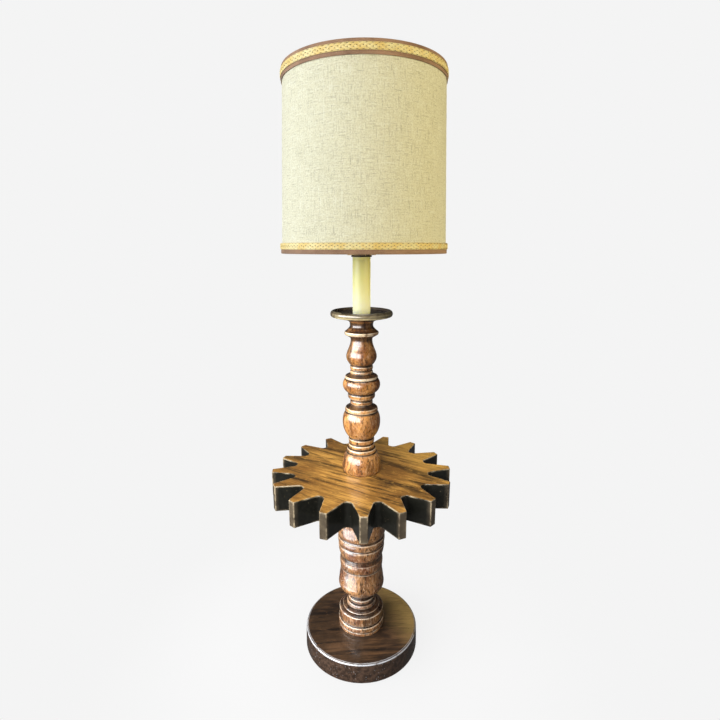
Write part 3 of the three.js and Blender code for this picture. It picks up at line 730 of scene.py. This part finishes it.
BRAID_LOOK = plaited("braid cloth", (0.92, 0.68, 0.22), (0.34, 0.18, 0.045), (0.98, 0.86, 0.42))
CANDLE = wax_plastic("candle plastic", (0.98, 0.90, 0.33), (0.98, 0.97, 0.62), (0.97, 0.84, 0.28))
GLASS = frosted_glass("bulb glass")


# ---------------- turned wood
LOWER = [
    (61, 0), (61, 7.4), (59.4, 8.6),
    ("bead", 59.4, 23.4, 2.8), (57.8, 24.8), (59.2, 26.4), (59.2, 50),
    ("bead", 52, 56.6, 1.8), (49.4, 57),
    ("bead", 43.4, 62.6, 1.8), (38.6, 63.4),
    ("bead", 35.6, 73.6, 2.4), (32.8, 74.8),
    ("bead", 32.8, 85.6, 2.2), (31.6, 86.8),
    ("vase", (32.6, 92), (37.6, 99), (46, 106), (53.6, 112.4), (58.8, 120.5), (60.8, 130), (59.6, 140),
      (58, 154), (56.2, 166), (55.4, 178)),
    (54.4, 180),
    ("bead", 55.8, 204, 1.8), (55.2, 206), (55.2, 217),
    ("bead", 60, 246, 2.0), (58.4, 248.5),
    ("bead", 60.4, 269, 2.4), (59, 271.5),
    ("vase", (62.4, 280), (64, 295), (64.6, 312), (61.4, 330), (54, 342), (43, 350)),
    ("bead", 39.5, 364, -2.0), (43, 365),
    ("bead", 43, 374, 2.6), (46, 375), (55, 377),
    ("bead", 55, 388.9, 3.4), (54, 389.9),
]
UPPER = [
    (46.8, -SEAT_DEPTH), (46.8, 0.8),
    ("vase", (48.6, 5), (49.2, 11), (48.6, 20), (46.6, 32), (43, 43), (38.4, 50)), (36, 51),
    ("bead", 34.2, 61.2, 1.8), (31.4, 62.2),
    ("bead", 31, 72.8, 1.8), (29.6, 73.6), (29.6, 74.8),
    ("bead", 31, 87.6, 2.0), (30.2, 88.8),
    ("vase", (34.2, 94), (40.6, 104), (45.4, 117), (47, 130), (46.2, 143), (43.6, 152), (41, 157.4)),
    (39.2, 158.6),
    ("bead", 37.4, 169.6, 2.4), (35.4, 170.4),
    ("bead", 26.6, 176.6, -1.8),
    ("bead", 26.2, 187.6, 1.6), (26, 189),
    (30.6, 191.4), (31.6, 193),
    ("bead", 32.2, 204.4, 1.8), (32.6, 206),
    ("vase", (37, 209.4), (43, 216), (45.8, 224), (45.6, 231.4), (43.2, 237.8), (40.6, 241.6)), (39, 242.6),
    ("bead", 37, 250, 2.4), (35, 250.8),
    ("bead", 26.8, 254.4, -1.2),
    ("bead", 26, 262.6, 1.6), (25.6, 263.4), (25.6, 264),
    ("bead", 26.4, 274.8, 2.0), (26.4, 275.8),
    ("vase", (31, 281), (35.8, 290), (37.1, 297.5), (35.4, 307), (31, 318), (27.4, 329), (26.2, 338),
      (27, 343.5)),
    (38.4, 350.5),
    ("bead", 39.2, 359, 2.4),
    ("vase", (33, 364.5), (28.8, 369.5), (27.8, 374), (28.4, 379), (31, 384.6)),
]
DISH_STEPS = [
    (33, 0), ("vase", (42, 3.6), (56, 6.4), (66, 8.6)),
    ("vase", (72.4, 10.8), (74.6, 16), (73, 21.4), (69, 24.2), (65, 22.8), (62.2, 18.8), (58.8, 17)),
    (40, 17), (WOOD_BORE, 17),
]
# where the dish's rim is rubbed and carries painted highlight: how much, radius, height and width
DISH_WEAR_AND_HIGHLIGHT = [(1.0, 69.5, 24.3, 2.8), (1.0, 71.6, 10.2, 4.0), (0.35, 73.0, 17.0, 3.5)]


def make_columns():
    for name, steps, foot, material in (("lower_column", LOWER, BASE_TOP, LOW_COLUMN),
                                        ("upper_column", UPPER, GEAR_TOP, COLUMN)):
        outside = spaced(soften(mouldings(steps), CORNER))
        bore = [(WOOD_BORE, outside[-1][1]), (WOOD_BORE, outside[0][1])]
        piece = lathe(f"{name}_turned", outside, bore, COLUMN_SIDES, (0, 0, foot))
        place(piece, "lamp", "column_wood", material, name)
    outside = soften(mouldings(DISH_STEPS), CORNER)
    dish = lathe("drip_dish_turned", outside, [(WOOD_BORE, 0)], COLUMN_SIDES, (0, 0, DISH_BOTTOM))
    # the dish's rim: rubbed wear and painted highlight in pale lines
    radius, height = radii_and_heights(dish)
    rubbed_and_highlit = [share * np.exp(-((radius - r) ** 2 + (height - DISH_BOTTOM - h) ** 2) / width ** 2)
              for share, r, h, width in DISH_WEAR_AND_HIGHLIGHT]
    paint(dish, "wear", np.maximum.reduce(rubbed_and_highlit))
    place(dish, "lamp", "dish_wood", DISH, "drip_dish")


# ---------------- base
def make_base():
    """The turned base, with two painted highlight lines along its edge, and the pocket and the cord channel
    underneath.
    """
    felt = high("base_felt")
    rounded = [(BASE_RADIUS - 1 - BASE_EDGE * (1 - cos(a)), BASE_TOP - BASE_EDGE * (1 - sin(a)))
               for a in np.linspace(0, pi / 2, 12)]
    outside = [(BASE_RADIUS - 2, felt), (BASE_RADIUS, felt + 2), (BASE_RADIUS - 0.4, (felt + BASE_TOP) / 2)]
    outside += rounded + [(BASE_RADIUS - 15, BASE_TOP), (70, BASE_TOP), (WOOD_BORE, BASE_TOP)]
    inside = [(WOOD_BORE, POCKET_TOP), (POCKET_RADIUS, POCKET_TOP), (POCKET_RADIUS, felt)]
    disc = lathe("base_disc_turned", soften(outside, CORNER), inside, sides=160)
    radius, height = radii_and_heights(disc)
    down = BASE_TOP - height
    paint(disc, "side", ramp(down, 2.5, 5.5) * (radius > 100))
    paint(disc, "tip", np.zeros(len(height)))
    # two painted highlight lines along the base's rounded edge
    upper = 0.6 * np.exp(-((down - 0.5) / 0.35) ** 2) * (radius > 146)
    lower = 0.95 * np.exp(-((down - 3.6) / 1.1) ** 2) * (radius > 140)
    paint(disc, "wear", np.maximum(upper, lower))
    start, end = POCKET_RADIUS - 4, BASE_RADIUS + 4
    channel = lathe("channel", [(CHANNEL_RADIUS, start), (CHANNEL_RADIUS, end)], [(0, end), (0, start)],
                    sides=24, axis="-Y", marks=False)
    channel.data.transform(Matrix.Rotation(pi, 4, "Z"))
    channel.data.transform(Matrix.Translation((0, 0, CHANNEL_HEIGHT * MM)))
    place(cut(disc, channel), "lamp", "dark_wood", BASE, "base_disc")


# ---------------- gear table
def gear_outline():
    """The table's outline: tapering teeth with every corner rounded, and points close to each corner."""
    at = lambda radius, angle: np.array([radius * sin(angle), -radius * cos(angle)])
    root = GEAR_ROOT / cos(GAP_ROOT_HALF)
    turned = lambda tooth: tooth * 2 * pi / TEETH + radians(TOOTH_CUT[tooth % TEETH][0])
    corners = []
    for tooth, (_, reach) in enumerate(TOOTH_CUT):
        middle, following = turned(tooth), turned(tooth + 1)
        gap = (middle + following) / 2
        for side in (-1, 1):
            corners.append((at(reach, middle + side * TOOTH_TIP_HALF), TIP_ROUND))
        for side in (-1, 1):
            corners.append((at(root, gap + side * GAP_ROOT_HALF), ROOT_ROUND))
    outline = []
    for i, (p, radius) in enumerate(corners):
        back, ahead = unit(corners[i - 1][0] - p), unit(corners[(i + 1) % len(corners)][0] - p)
        half = acos(back @ ahead) / 2
        centre = p + unit(back + ahead) * radius / sin(half)
        start, end = (p + way * radius / tan(half) - centre for way in (back, ahead))
        sweep = atan2(start[0] * end[1] - start[1] * end[0], start @ end)
        steps = 5 if radius == TIP_ROUND else 8
        for k in range(steps + 1):
            c, s = cos(sweep * k / steps), sin(sweep * k / steps)
            outline.append(centre + np.array([c * start[0] - s * start[1], s * start[0] + c * start[1]]))
    dense = []
    for i, p in enumerate(outline):
        following = outline[(i + 1) % len(outline)]
        length = np.linalg.norm(following - p)
        count = max(1, int(length // 9))
        shares = [k / count for k in range(count)]
        if length > 6:
            shares = sorted({0, 1.5 / length, 1 - 1.5 / length, *shares[1:]})
        dense += [p + (following - p) * share for share in shares]
    return np.array(dense)


def make_table():
    """The thick board, as rings of points from the middle of its bottom to the middle of its top."""
    outline = gear_outline()
    n = len(outline)
    tangent = unit(np.roll(outline, -1, 0) - np.roll(outline, 1, 0))
    inward = np.stack([-tangent[:, 1], tangent[:, 0]], 1)
    radius = np.linalg.norm(outline, axis=1)
    outwards = unit(outline)
    turns, reaches = np.array(TOOTH_CUT).T
    place_round = (np.arctan2(outline[:, 0], -outline[:, 1]) / (2 * pi) * TEETH) % TEETH
    turned = np.interp(place_round, range(TEETH), turns) * TEETH / 360
    nearest = np.round(place_round - turned).astype(int) % TEETH
    on_tip = ramp(radius - reaches[nearest], -4, -1.5)
    bend = np.cross(np.roll(tangent, 1, 0), np.roll(tangent, -1, 0))
    corner = ramp(np.abs(np.arcsin(np.clip(bend, -1, 1))), 0, 0.35) * (radius > 200)
    thick = GEAR_TOP - GEAR_BOTTOM

    rings, side, wear, tip = [], [], [], []

    def ring(points, height, flank, worn_and_highlit):
        rings.append(np.column_stack([points, np.full(n, GEAR_BOTTOM + height)]))
        side.append(np.full(n, flank))
        wear.append(np.broadcast_to(worn_and_highlit, (n,)).copy())
        tip.append(on_tip * flank)

    ring(outwards * WOOD_BORE, 0, 1, 0)
    ring(outwards * 150, 0, 1, 0)
    ring(outline + inward * 2.0, 0, 1, 0)
    for a in np.linspace(0, pi / 2, 5):
        ring(outline + inward * ARRIS * (1 - sin(a)), ARRIS * (1 - cos(a)), 1, 0.35)
    for share in (0.06, 0.2, 0.5, 0.8, 0.94):
        ring(outline, thick * share, 1, corner * 0.75)
    for a in np.linspace(0, pi / 2, 6):
        edge = outline + inward * ARRIS * (1 - cos(a))
        ring(edge, thick - ARRIS * (1 - sin(a)), cos(a) > 0.35, 0.72)
    ring(outline + inward * 2.1, thick, 0, 0)
    for out in (150, 95, SEAT_RADIUS):
        ring(outwards * out, thick, 0, 0)
    for out in (SEAT_RADIUS, WOOD_BORE):
        ring(outwards * out, thick - SEAT_DEPTH, 0, 0)

    faces = []
    for i in range(len(rings)):
        a, b = i * n, ((i + 1) % len(rings)) * n
        faces += [(a + k, a + (k + 1) % n, b + (k + 1) % n, b + k) for k in range(n)]
    board = new_object("gear_table_board", np.concatenate(rings), faces, 30.0)
    for label, values in (("side", side), ("wear", wear), ("tip", tip)):
        paint(board, label, np.concatenate(values))
    place(board, "lamp", "table_wood", TABLE, "gear_table")


# ---------------- candle
def half_width(node):
    """A round CAD node's radius."""
    start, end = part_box(node)
    return (end.x - start.x) / 2 / MM


def make_candle():
    """The sleeve, with a shallow groove near its top, and the spun cap on it."""
    outer = half_width("candle_sleeve")
    bore = outer - CANDLE_WALL
    groove = CAP_BOTTOM - 7
    outside = [(outer - 0.6, CANDLE_BOTTOM), (outer, CANDLE_BOTTOM), (outer, groove),
               (outer - 0.4, groove + 0.5), (outer - 0.4, groove + 1.3), (outer, groove + 1.8),
               (outer, CAP_BOTTOM), (outer - 0.6, CAP_BOTTOM)]
    outside = soften(outside, 0.3)
    sleeve = lathe("candle_sleeve_tube", outside, [(bore, CAP_BOTTOM), (bore, CANDLE_BOTTOM)], sides=72)
    place(sleeve, "lamp", "candle_plastic", CANDLE, "candle_sleeve")

    thick = SADDLE_BOTTOM - CAP_BOTTOM
    wide = half_width("candle_cap")
    outside = [(bore - 0.5, -3), (bore - 0.5, 0), (wide - 1, 0), (wide, 1), (wide, thick - 1.4),
               (wide - 1.4, thick)]
    cap = lathe("candle_cap_spun", soften(outside, 0.5), [(WOOD_BORE, thick), (WOOD_BORE, -3)],
                centre=(0, 0, CAP_BOTTOM), sides=72)
    place(cap, "lamp", "bronze", BRONZE, "candle_cap")


# ---------------- socket, switch and bulb
def make_socket():
    base = SOCKET_BOTTOM
    cup = [(8, 0), (8, 5), (11, 6.5), (15.4, 10), (17.3, 14), (17.3, 19), (16.6, 19), (16.6, 14),
           (14.8, 10.8), (10.6, 8), (WOOD_BORE, 7)]
    piece = lathe("socket_cap_spun", soften(cup, CORNER), [(WOOD_BORE, 0)], centre=(0, 0, base), sides=64)
    place(piece, "lamp", "brass", BRASS, "socket_cap")

    tall = high("socket_shell") - base
    wide, bore = SOCKET_RADIUS, SOCKET_RADIUS - SOCKET_WALL
    wall = [(wide, SOCKET_MOUTH), (wide, 22), ("bead", wide, 24, 0.5), (wide, 40), ("bead", wide, 42, 0.5),
            (wide, tall)]
    shell = lathe("shell", mouldings(wall, 6), [(bore, tall), (bore, SOCKET_MOUTH)], 64, (0, 0, base))
    boss = lathe("boss", [(4.6, 15.9), (4.6, 20), (4.2, 21)], [(2.3, 21), (2.3, 15.9)],
                 centre=(0, 0, SWITCH_HEIGHT), sides=32, axis="-Y")
    place(joined("socket_shell_spun", [shell, boss]), "lamp", "brass", BRASS, "socket_shell")

    stem = low("bulb_cap")
    thread = [(0, 0), (4.4, 0), (5.4, 1.6), (11.6, 3.4), (12.4, 5)]
    thread += [("bead", 12.4, 5 + SCREW_PITCH * turn, 0.7) for turn in range(1, 7)]
    thread += [(13.1, 24), (0, 24)]
    cap = lathe("bulb_cap_screw", mouldings(thread, 6), centre=(0, 0, stem), sides=48, closed=False)
    place(cap, "lamp", "aluminium", ALUMINIUM, "bulb_cap")

    glass = mouldings([(12.8, 24.3), ("vase", (14.6, 33), (20, 46), (27, 60), (30.2, 76), (27.4, 92),
                                      (19.6, 103), (9, 109), (0, 110.5))])
    inside = [(max(r - 1.2, 0), h - 1.2 if h > 90 else h) for r, h in reversed(glass)]
    bulb = lathe("bulb_glass_blown", glass, inside, centre=(0, 0, stem), sides=64)
    place(bulb, "lamp", "bulb_glass", GLASS, "bulb_glass")

    grip = [(2.2, 0), (6.4, 0), (6.4, 3), (5.2, 5), (4.6, 15), (3.8, 16), (0, 16)]
    knob = lathe("switch_knob_moulded", soften(grip, CORNER), [(0, 5.2), (2.2, 5.2)], sides=48,
                 centre=(0, -SWITCH_OUT, SWITCH_HEIGHT), axis="-Y")
    place(knob, "switch", "black_plastic", PLASTIC, "switch_knob")


# ---------------- harp
def make_harp():
    joint = SADDLE_TOP + HARP_JOINT
    foot = joint + FITTED
    rise = HARP_TOP - HARP_WIRE - foot
    # half of the harp: how far from its middle, and what share of the way up
    half = [(HARP_FOOT, 0), (HARP_FOOT, 0.08), (HARP_FOOT + 6, 0.19), (HARP_BELLY - 3, 0.42),
            (HARP_BELLY, 0.6), (HARP_BELLY - 7, 0.78), (34, 0.93), (20, 0.99), (9, 1)]
    point = lambda side, across, up: (side * across + HARP_LEAN * up * up, 0, foot + rise * up)
    path = [point(-1, *q) for q in half] + [point(1, *q) for q in reversed(half)]
    wire = tube("harp_wire", smooth_curve(path, 10), HARP_WIRE, 14)
    place(wire, "lamp", "brass", BRASS, "harp")

    stud = [(0, 0), (8, 0), (8, 2), (3.1, 2.6), (3.1, 17), (2.4, 18), (0, 18)]
    piece = lathe("harp_stud_turned", soften(stud, 0.4), sides=48, closed=False,
                  centre=(HARP_LEAN, 0, HARP_TOP + FITTED))
    place(piece, "lamp", "brass", BRASS, "harp_stud")

    outside = soften([(2.9, 0), (4.8, 0), (4.8, 3), (4.1, 4), (4.1, 13), (3.6, 15), (2.9, 15)], 0.4)
    for side, x in (("left", -HARP_FOOT), ("right", HARP_FOOT)):
        ferrule = lathe(f"ferrule_{side}_turned", outside, centre=(x, 0, joint - FERRULE_DROP), sides=40)
        place(ferrule, f"ferrule_{side}", "brass", BRASS, f"harp_ferrule_{side}")


# ---------------- shade
def shade_radius(height, out):
    """The drum's radius at that height, and so far outside the lining's inner face."""
    down = (SHADE_TOP - height) / SHADE_HEIGHT
    return SHADE_TOP_RADIUS + (SHADE_BOTTOM_RADIUS - SHADE_TOP_RADIUS) * down + out


def round_path(angle, radius, height):
    """Points round the shade's axis."""
    radius, height = np.broadcast_arrays(radius, height, angle)[:2]
    return np.stack([HARP_LEAN + radius * np.cos(angle), radius * np.sin(angle), height], 1)


def make_fabric():
    """The cloth: one strip round the lining, its ends lapped at the back, with thick threads standing up."""
    around, up, lap = 420, 130, 0.035
    rng = np.random.default_rng(7)
    weft = rng.normal(0, 1, (up + 1, 26))
    warp = rng.normal(0, 1, (around + 1, 9))
    weft_knots, warp_knots = np.linspace(0, 1, 26), np.linspace(0, 1, 9)
    verts, faces = [], []
    for i in range(around + 1):
        share = i / around
        angle = pi / 2 - lap / 2 + share * (2 * pi + lap)
        lifted = ramp(share, 0.992, 0.996) * 0.7
        for j in range(up + 1):
            height = CLOTH_BOTTOM + (CLOTH_TOP - CLOTH_BOTTOM) * j / up
            thread = np.interp(share, weft_knots, weft[j]) * 0.10
            thread += np.interp(j / up, warp_knots, warp[i]) * 0.08
            out = FABRIC_OUT + FABRIC * 0.5 + lifted + np.clip(thread, -0.22, 0.32)
            radius = shade_radius(height, out)
            verts.append((HARP_LEAN + radius * cos(angle), radius * sin(angle), height))
    row = up + 1
    for i in range(around):
        a, b = i * row, (i + 1) * row
        faces += [(a + j, b + j, b + j + 1, a + j + 1) for j in range(up)]
    cloth = new_object("shade_cloth", verts, faces, 80.0)
    return place(cloth, "shade", "shade_cloth", CLOTH, "shade_fabric")


def make_ribbon(name, edge, band, node):
    """A ribbon folded over the shade's edge and its wire ring. band is how far it reaches on the outside,
    and below 0 where that is downwards."""
    into = copysign(1, band)
    bend = 0.9
    outside, inside = RIBBON_OUT + RIBBON, -(2 * RING_WIRE + 0.9)
    profile = [(RIBBON_OUT, band)] + [(outside, band * (1 - k / 6)) for k in range(6)]
    profile += [(outside, into * bend), (outside - bend, 0), (inside - RIBBON + bend, 0),
                (inside - RIBBON, into * bend), (inside - RIBBON, into * 8), (inside, into * 8),
                (inside, into * RIBBON), (RIBBON_OUT, into * RIBBON)]
    profile = [(shade_radius(edge + height, out), edge + height) for out, height in profile]
    ribbon = lathe(name, soften(profile, 0.5, closed=True), sides=240, centre=SHADE_CENTRE, marks=False)
    return place(ribbon, "shade", "ribbon_cloth", RIBBON_LOOK, node)


def make_braid(name, bottom, node):
    """A flat plait of three strands between two fine cords, glued over the ribbon."""
    middle = bottom + BRAID_WIDTH / 2
    angle = round_points(BRAID_PERIODS * 24)
    outward = np.stack([np.cos(angle), np.sin(angle), 0 * angle], 1)
    flat = [(2.1 * cos(a), 0.5 * sin(a)) for a in round_points(10)]
    strands = []
    for strand in range(3):
        phase = BRAID_PERIODS * angle + strand * 2 * pi / 3
        height = middle + 4.1 * np.sin(phase)
        radius = shade_radius(height, BRAID_OUT + BRAID / 2 + 0.45 * np.sin(2 * phase))
        path = round_path(angle, radius, height)
        strands.append(tube("strand", path, 1, closed=True, section=flat, up=outward))
    for side in (-1, 1):
        height = middle + side * (BRAID_WIDTH / 2 - 0.7) + 0.1 * np.sin(BRAID_PERIODS * 6 * angle)
        path = round_path(angle, shade_radius(height, BRAID_OUT + 0.7), height)
        strands.append(tube("cord", path, 0.65, sides=6, closed=True, up=outward))
    return place(joined(name, strands), "shade", "braid_cloth", BRAID_LOOK, node)


def ring_line(edge, into):
    """The radius and height of a wire ring's middle, in a ribbon's fold at that edge of the shade."""
    height = edge + into * (RIBBON + FITTED + RING_WIRE)
    return shade_radius(height, -(RING_WIRE + 0.45)), height


def make_shade():
    cloth = make_fabric()
    wall = [(shade_radius(h, LINING), h) for h in np.linspace(CLOTH_BOTTOM, CLOTH_TOP, 9)]
    back = [(shade_radius(h, 0), h) for h in (CLOTH_TOP, CLOTH_BOTTOM)]
    lining = lathe("shade_lining_sheet", wall, back, sides=180, centre=SHADE_CENTRE, marks=False)
    place(lining, "shade", "lining_sheet", LINER, "shade_lining")

    trims = [
        make_ribbon("top_ribbon_cloth", SHADE_TOP, -TOP_BAND, "top_ribbon"),
        make_ribbon("bottom_ribbon_cloth", SHADE_BOTTOM, BOTTOM_BAND, "bottom_ribbon"),
        make_braid("top_braid_plait", SHADE_TOP - (TOP_BAND + BRAID_WIDTH) / 2, "top_braid"),
        make_braid("bottom_braid_plait", SHADE_BOTTOM + BOTTOM_BAND - BRAID_WIDTH, "bottom_braid"),
    ]

    for name, edge, into in (("top_ring", SHADE_TOP, -1), ("bottom_ring", SHADE_BOTTOM, 1)):
        path = round_path(round_points(200), *ring_line(edge, into))
        place(tube(f"{name}_wire", path, RING_WIRE, 12, closed=True), "shade", "brass", BRASS, name)

    hub = soften([(3.5, 0), (13, 0), (13, 2.5), (3.5, 2.5)], 0.5, closed=True)
    hub = lathe("spider_hub_pressed", hub, sides=64, centre=(HARP_LEAN, 0, HUB_BOTTOM))
    place(hub, "shade", "brass", BRASS, "spider_hub")
    reach, top = ring_line(SHADE_TOP, -1)
    top -= RING_WIRE + FITTED
    middle = HUB_BOTTOM + 1.25
    arm = np.array([(13.3, middle), (60, middle), (reach - 24, middle), (reach - 8, middle + 2),
                    (reach - 1, middle + 9), (reach, top - 4), (reach, top)])
    for number in range(3):
        angle = pi / 2 + number * 2 * pi / 3
        path = round_path(angle, arm[:, 0], arm[:, 1])
        piece = tube(f"spider_arm_{number + 1}_wire", smooth_curve(path, 6), SPIDER_WIRE, 12)
        place(piece, "shade", "brass", BRASS, f"spider_arm_{number + 1}")

    knob = mouldings([(3.5, 0), (7.5, 0), ("vase", (8, 1.5), (6.2, 4)),
                      ("vase", (8.6, 7), (10, 11), (8.8, 15), (5.6, 18.4), (0, 19.6))])
    finial = lathe("finial_turned", knob, [(0, 16), (3.5, 16)], 64, (HARP_LEAN, 0, HUB_BOTTOM + 2.8))
    place(finial, "lamp", "brass", BRASS, "finial")


# ---------------- CAD pieces that keep their own shape
def dress_the_rest():
    looks = {
        "base_felt": FELT, "cord_bushing": PLASTIC, "base_washer": STEEL, "base_nut": STEEL,
        "threaded_pipe": STEEL, "dish_washer": STEEL, "dish_nut": STEEL, "harp_saddle": BRASS,
        "saddle_nut": STEEL, "socket_insulator": BOARD, "socket_body": PLASTIC, "screw_shell": ALUMINIUM,
        "centre_contact": BRASS, "switch_shaft": STEEL,
    }
    for name, look in looks.items():
        for material_slot in nodes[name].material_slots:
            material_slot.material = look


# ---------------- camera, floor and light
PALE = 0.905               # the page-like background
FLOOR_GLOW = 0.07          # how bright the floor looks to the object
SHADOW_FADE = (0.25, 0.75)  # distances from the middle over which the floor's faint shadow ends, in metres
SKY_LEFT = 0.40
SKY_RIGHT = 0.015
SKY_BEHIND = 0.35          # how much of that brightness is left behind the object
SHADE_MIDDLE = 1.24        # height in metres


def grey(value):
    return (value, value, value, 1)


def make_camera():
    data = bpy.data.cameras.new("camera")
    data.lens = 24.245
    data.sensor_width = 36
    camera = bpy.data.objects.new("camera", data)
    camera.location = (-0.0037, -1.152, 1.0670)
    camera.rotation_euler = (radians(90 - 13.075), 0, 0)
    show(camera)
    bpy.context.scene.camera = camera


def make_floor():
    """Pale all over where the camera sees it, with a faint shadow round the base, and dim to the object."""
    material = bpy.data.materials.new("pale floor")
    shader = Shader(material)
    shader.tree.nodes.clear()
    away = shader.node("VectorMath", {0: shader.spot()}, operation="LENGTH").outputs["Value"]
    matt = shader.add("BsdfDiffuse", {0: grey(0.05)})
    shadowed = shader.add("AddShader", {0: shader.add("Emission", {0: grey(0.84)}), 1: matt})
    even = shader.add("Emission", {0: grey(PALE)})
    seen = shader.add("MixShader", {0: shader.span(away, *SHADOW_FADE), 1: shadowed, 2: even})
    dim = shader.add("Emission", {0: (1.0, 0.97, 0.94, 1), 1: FLOOR_GLOW})
    shader.node("OutputMaterial", {0: shader.by_camera(seen, dim)})
    mesh = bpy.data.meshes.new("floor")
    mesh.from_pydata([(-30, -30, 0), (30, -30, 0), (30, 30, 0), (-30, 30, 0)], [], [(0, 1, 2, 3)])
    floor = bpy.data.objects.new("floor", mesh)
    floor.data.materials.append(material)
    show(floor)


def make_world():
    """Bright on the left, dim on the right, dimmer behind, and pale where the camera sees it."""
    world = bpy.data.worlds.new("studio")
    bpy.context.scene.world = world
    shader = Shader(world)
    shader.tree.nodes.clear()
    direction = shader.node("TexCoord").outputs["Generated"]
    parts = shader.node("SeparateXYZ", {0: direction}).outputs
    across = shader.span(parts[0], -0.9, 0.5, SKY_LEFT, SKY_RIGHT, "LINEAR")
    behind = shader.span(parts[1], -0.1, 0.6, 1.0, SKY_BEHIND, "LINEAR")
    seen = shader.add("Background", {0: grey(PALE)})
    lit = shader.add("Background", {1: shader.times(across, behind)})
    shader.node("OutputWorld", {0: shader.by_camera(seen, lit)})


def area_light(name, azimuth, height, distance, width, tall, glow, colour, receivers, aim=0.7, lying=False,
               glossy=True):
    """A soft window: azimuth in degrees round from straight in front of the lamp, towards +X, and its
    own brightness. It lights the receivers alone, faces the height aim on the lamp's axis, or straight up
    where lying is True, and doesn't show in their gloss where glossy is False."""
    data = bpy.data.lights.new(name, "AREA")
    data.shape = "RECTANGLE"
    data.size, data.size_y = width, tall
    data.energy = glow * pi * width * tall
    data.color = colour
    light = bpy.data.objects.new(name, data)
    turn = radians(azimuth)
    light.location = (distance * sin(turn), -distance * cos(turn), height)
    light.rotation_euler = (Vector((0, 0, aim)) - light.location).to_track_quat("-Z", "Y").to_euler()
    if lying:
        light.rotation_euler = (pi, 0, turn)
        light.visible_camera = False
    light.visible_glossy = glossy
    show(light)
    light.light_linking.receiver_collection = receivers


def make_lights():
    """The shade with the candle sleeve, the table, and everything else are lit apart, because the cloth is
    lit much more evenly than the wood. The base and the lower column are also lit from the floor."""
    shade, table, rest, near_floor = (
        bpy.data.collections.new(f"lit as the {name}") for name in ("shade", "table", "rest", "base"))
    evenly_lit = ("shade_cloth", "shade_lining", "top_ribbon", "bottom_ribbon", "top_braid", "bottom_braid",
                  "spider", "top_ring", "bottom_ring", "candle_sleeve")
    for obj in bpy.data.objects:
        if obj.type == "MESH" and obj.name.startswith(evenly_lit):
            shade.objects.link(obj)
        elif obj.type == "MESH":
            (table if obj.name == "gear_table_board" else rest).objects.link(obj)
    for name in ("base_disc_turned", "lower_column_turned"):
        near_floor.objects.link(bpy.data.objects[name])
    area_light("window", -50, 1.45, 3.0, 5.6, 1.9, 12, (0.96, 0.97, 1.0), rest)
    area_light("table window", -50, 1.45, 3.0, 5.6, 1.9, 12, (0.98, 0.98, 0.98), table, glossy=False)
    area_light("table ceiling", -10, 2.9, 1.3, 1.8, 1.8, 8.2, (1.0, 0.98, 0.95), table)
    area_light("bright floor", -56, 0.01, 0.60, 0.60, 0.42, 8.0, (0.94, 0.97, 1.0), near_floor, lying=True)
    area_light("ceiling", -10, 3.0, 0.5, 2.0, 2.0, 5.0, (1.0, 0.98, 0.95), rest)
    area_light("right patch", 66, 1.1, 2.4, 0.5, 1.0, 0.7, (1.0, 0.88, 0.70), rest)
    area_light("right fill", 135, 1.5, 3.0, 2.6, 2.0, 2.4, (1.0, 0.97, 0.92), rest, glossy=False)
    area_light("table fill", 160, 1.0, 3.0, 4.0, 1.4, 1.2, (1.0, 0.97, 0.92), table, glossy=False)
    area_light("back", -150, 1.7, 3.0, 3.2, 2.0, 3.2, (1.0, 0.98, 0.95), rest, glossy=False)
    area_light("shade back", 178, 1.5, 2.8, 2.6, 2.0, 4.2, (0.97, 0.95, 0.84), shade, SHADE_MIDDLE)
    area_light("shade left", -62, 1.5, 2.6, 2.6, 2.0, 6.9, (0.87, 0.91, 1.0), shade, SHADE_MIDDLE)
    area_light("shade right", 58, 1.5, 2.6, 2.6, 2.0, 4.5, (1.0, 0.89, 0.60), shade, SHADE_MIDDLE)


make_base()
make_columns()
make_table()
make_candle()
make_socket()
make_harp()
make_shade()
dress_the_rest()
make_camera()
make_world()
make_floor()
make_lights()
bpy.context.scene.view_settings.view_transform = "Standard"

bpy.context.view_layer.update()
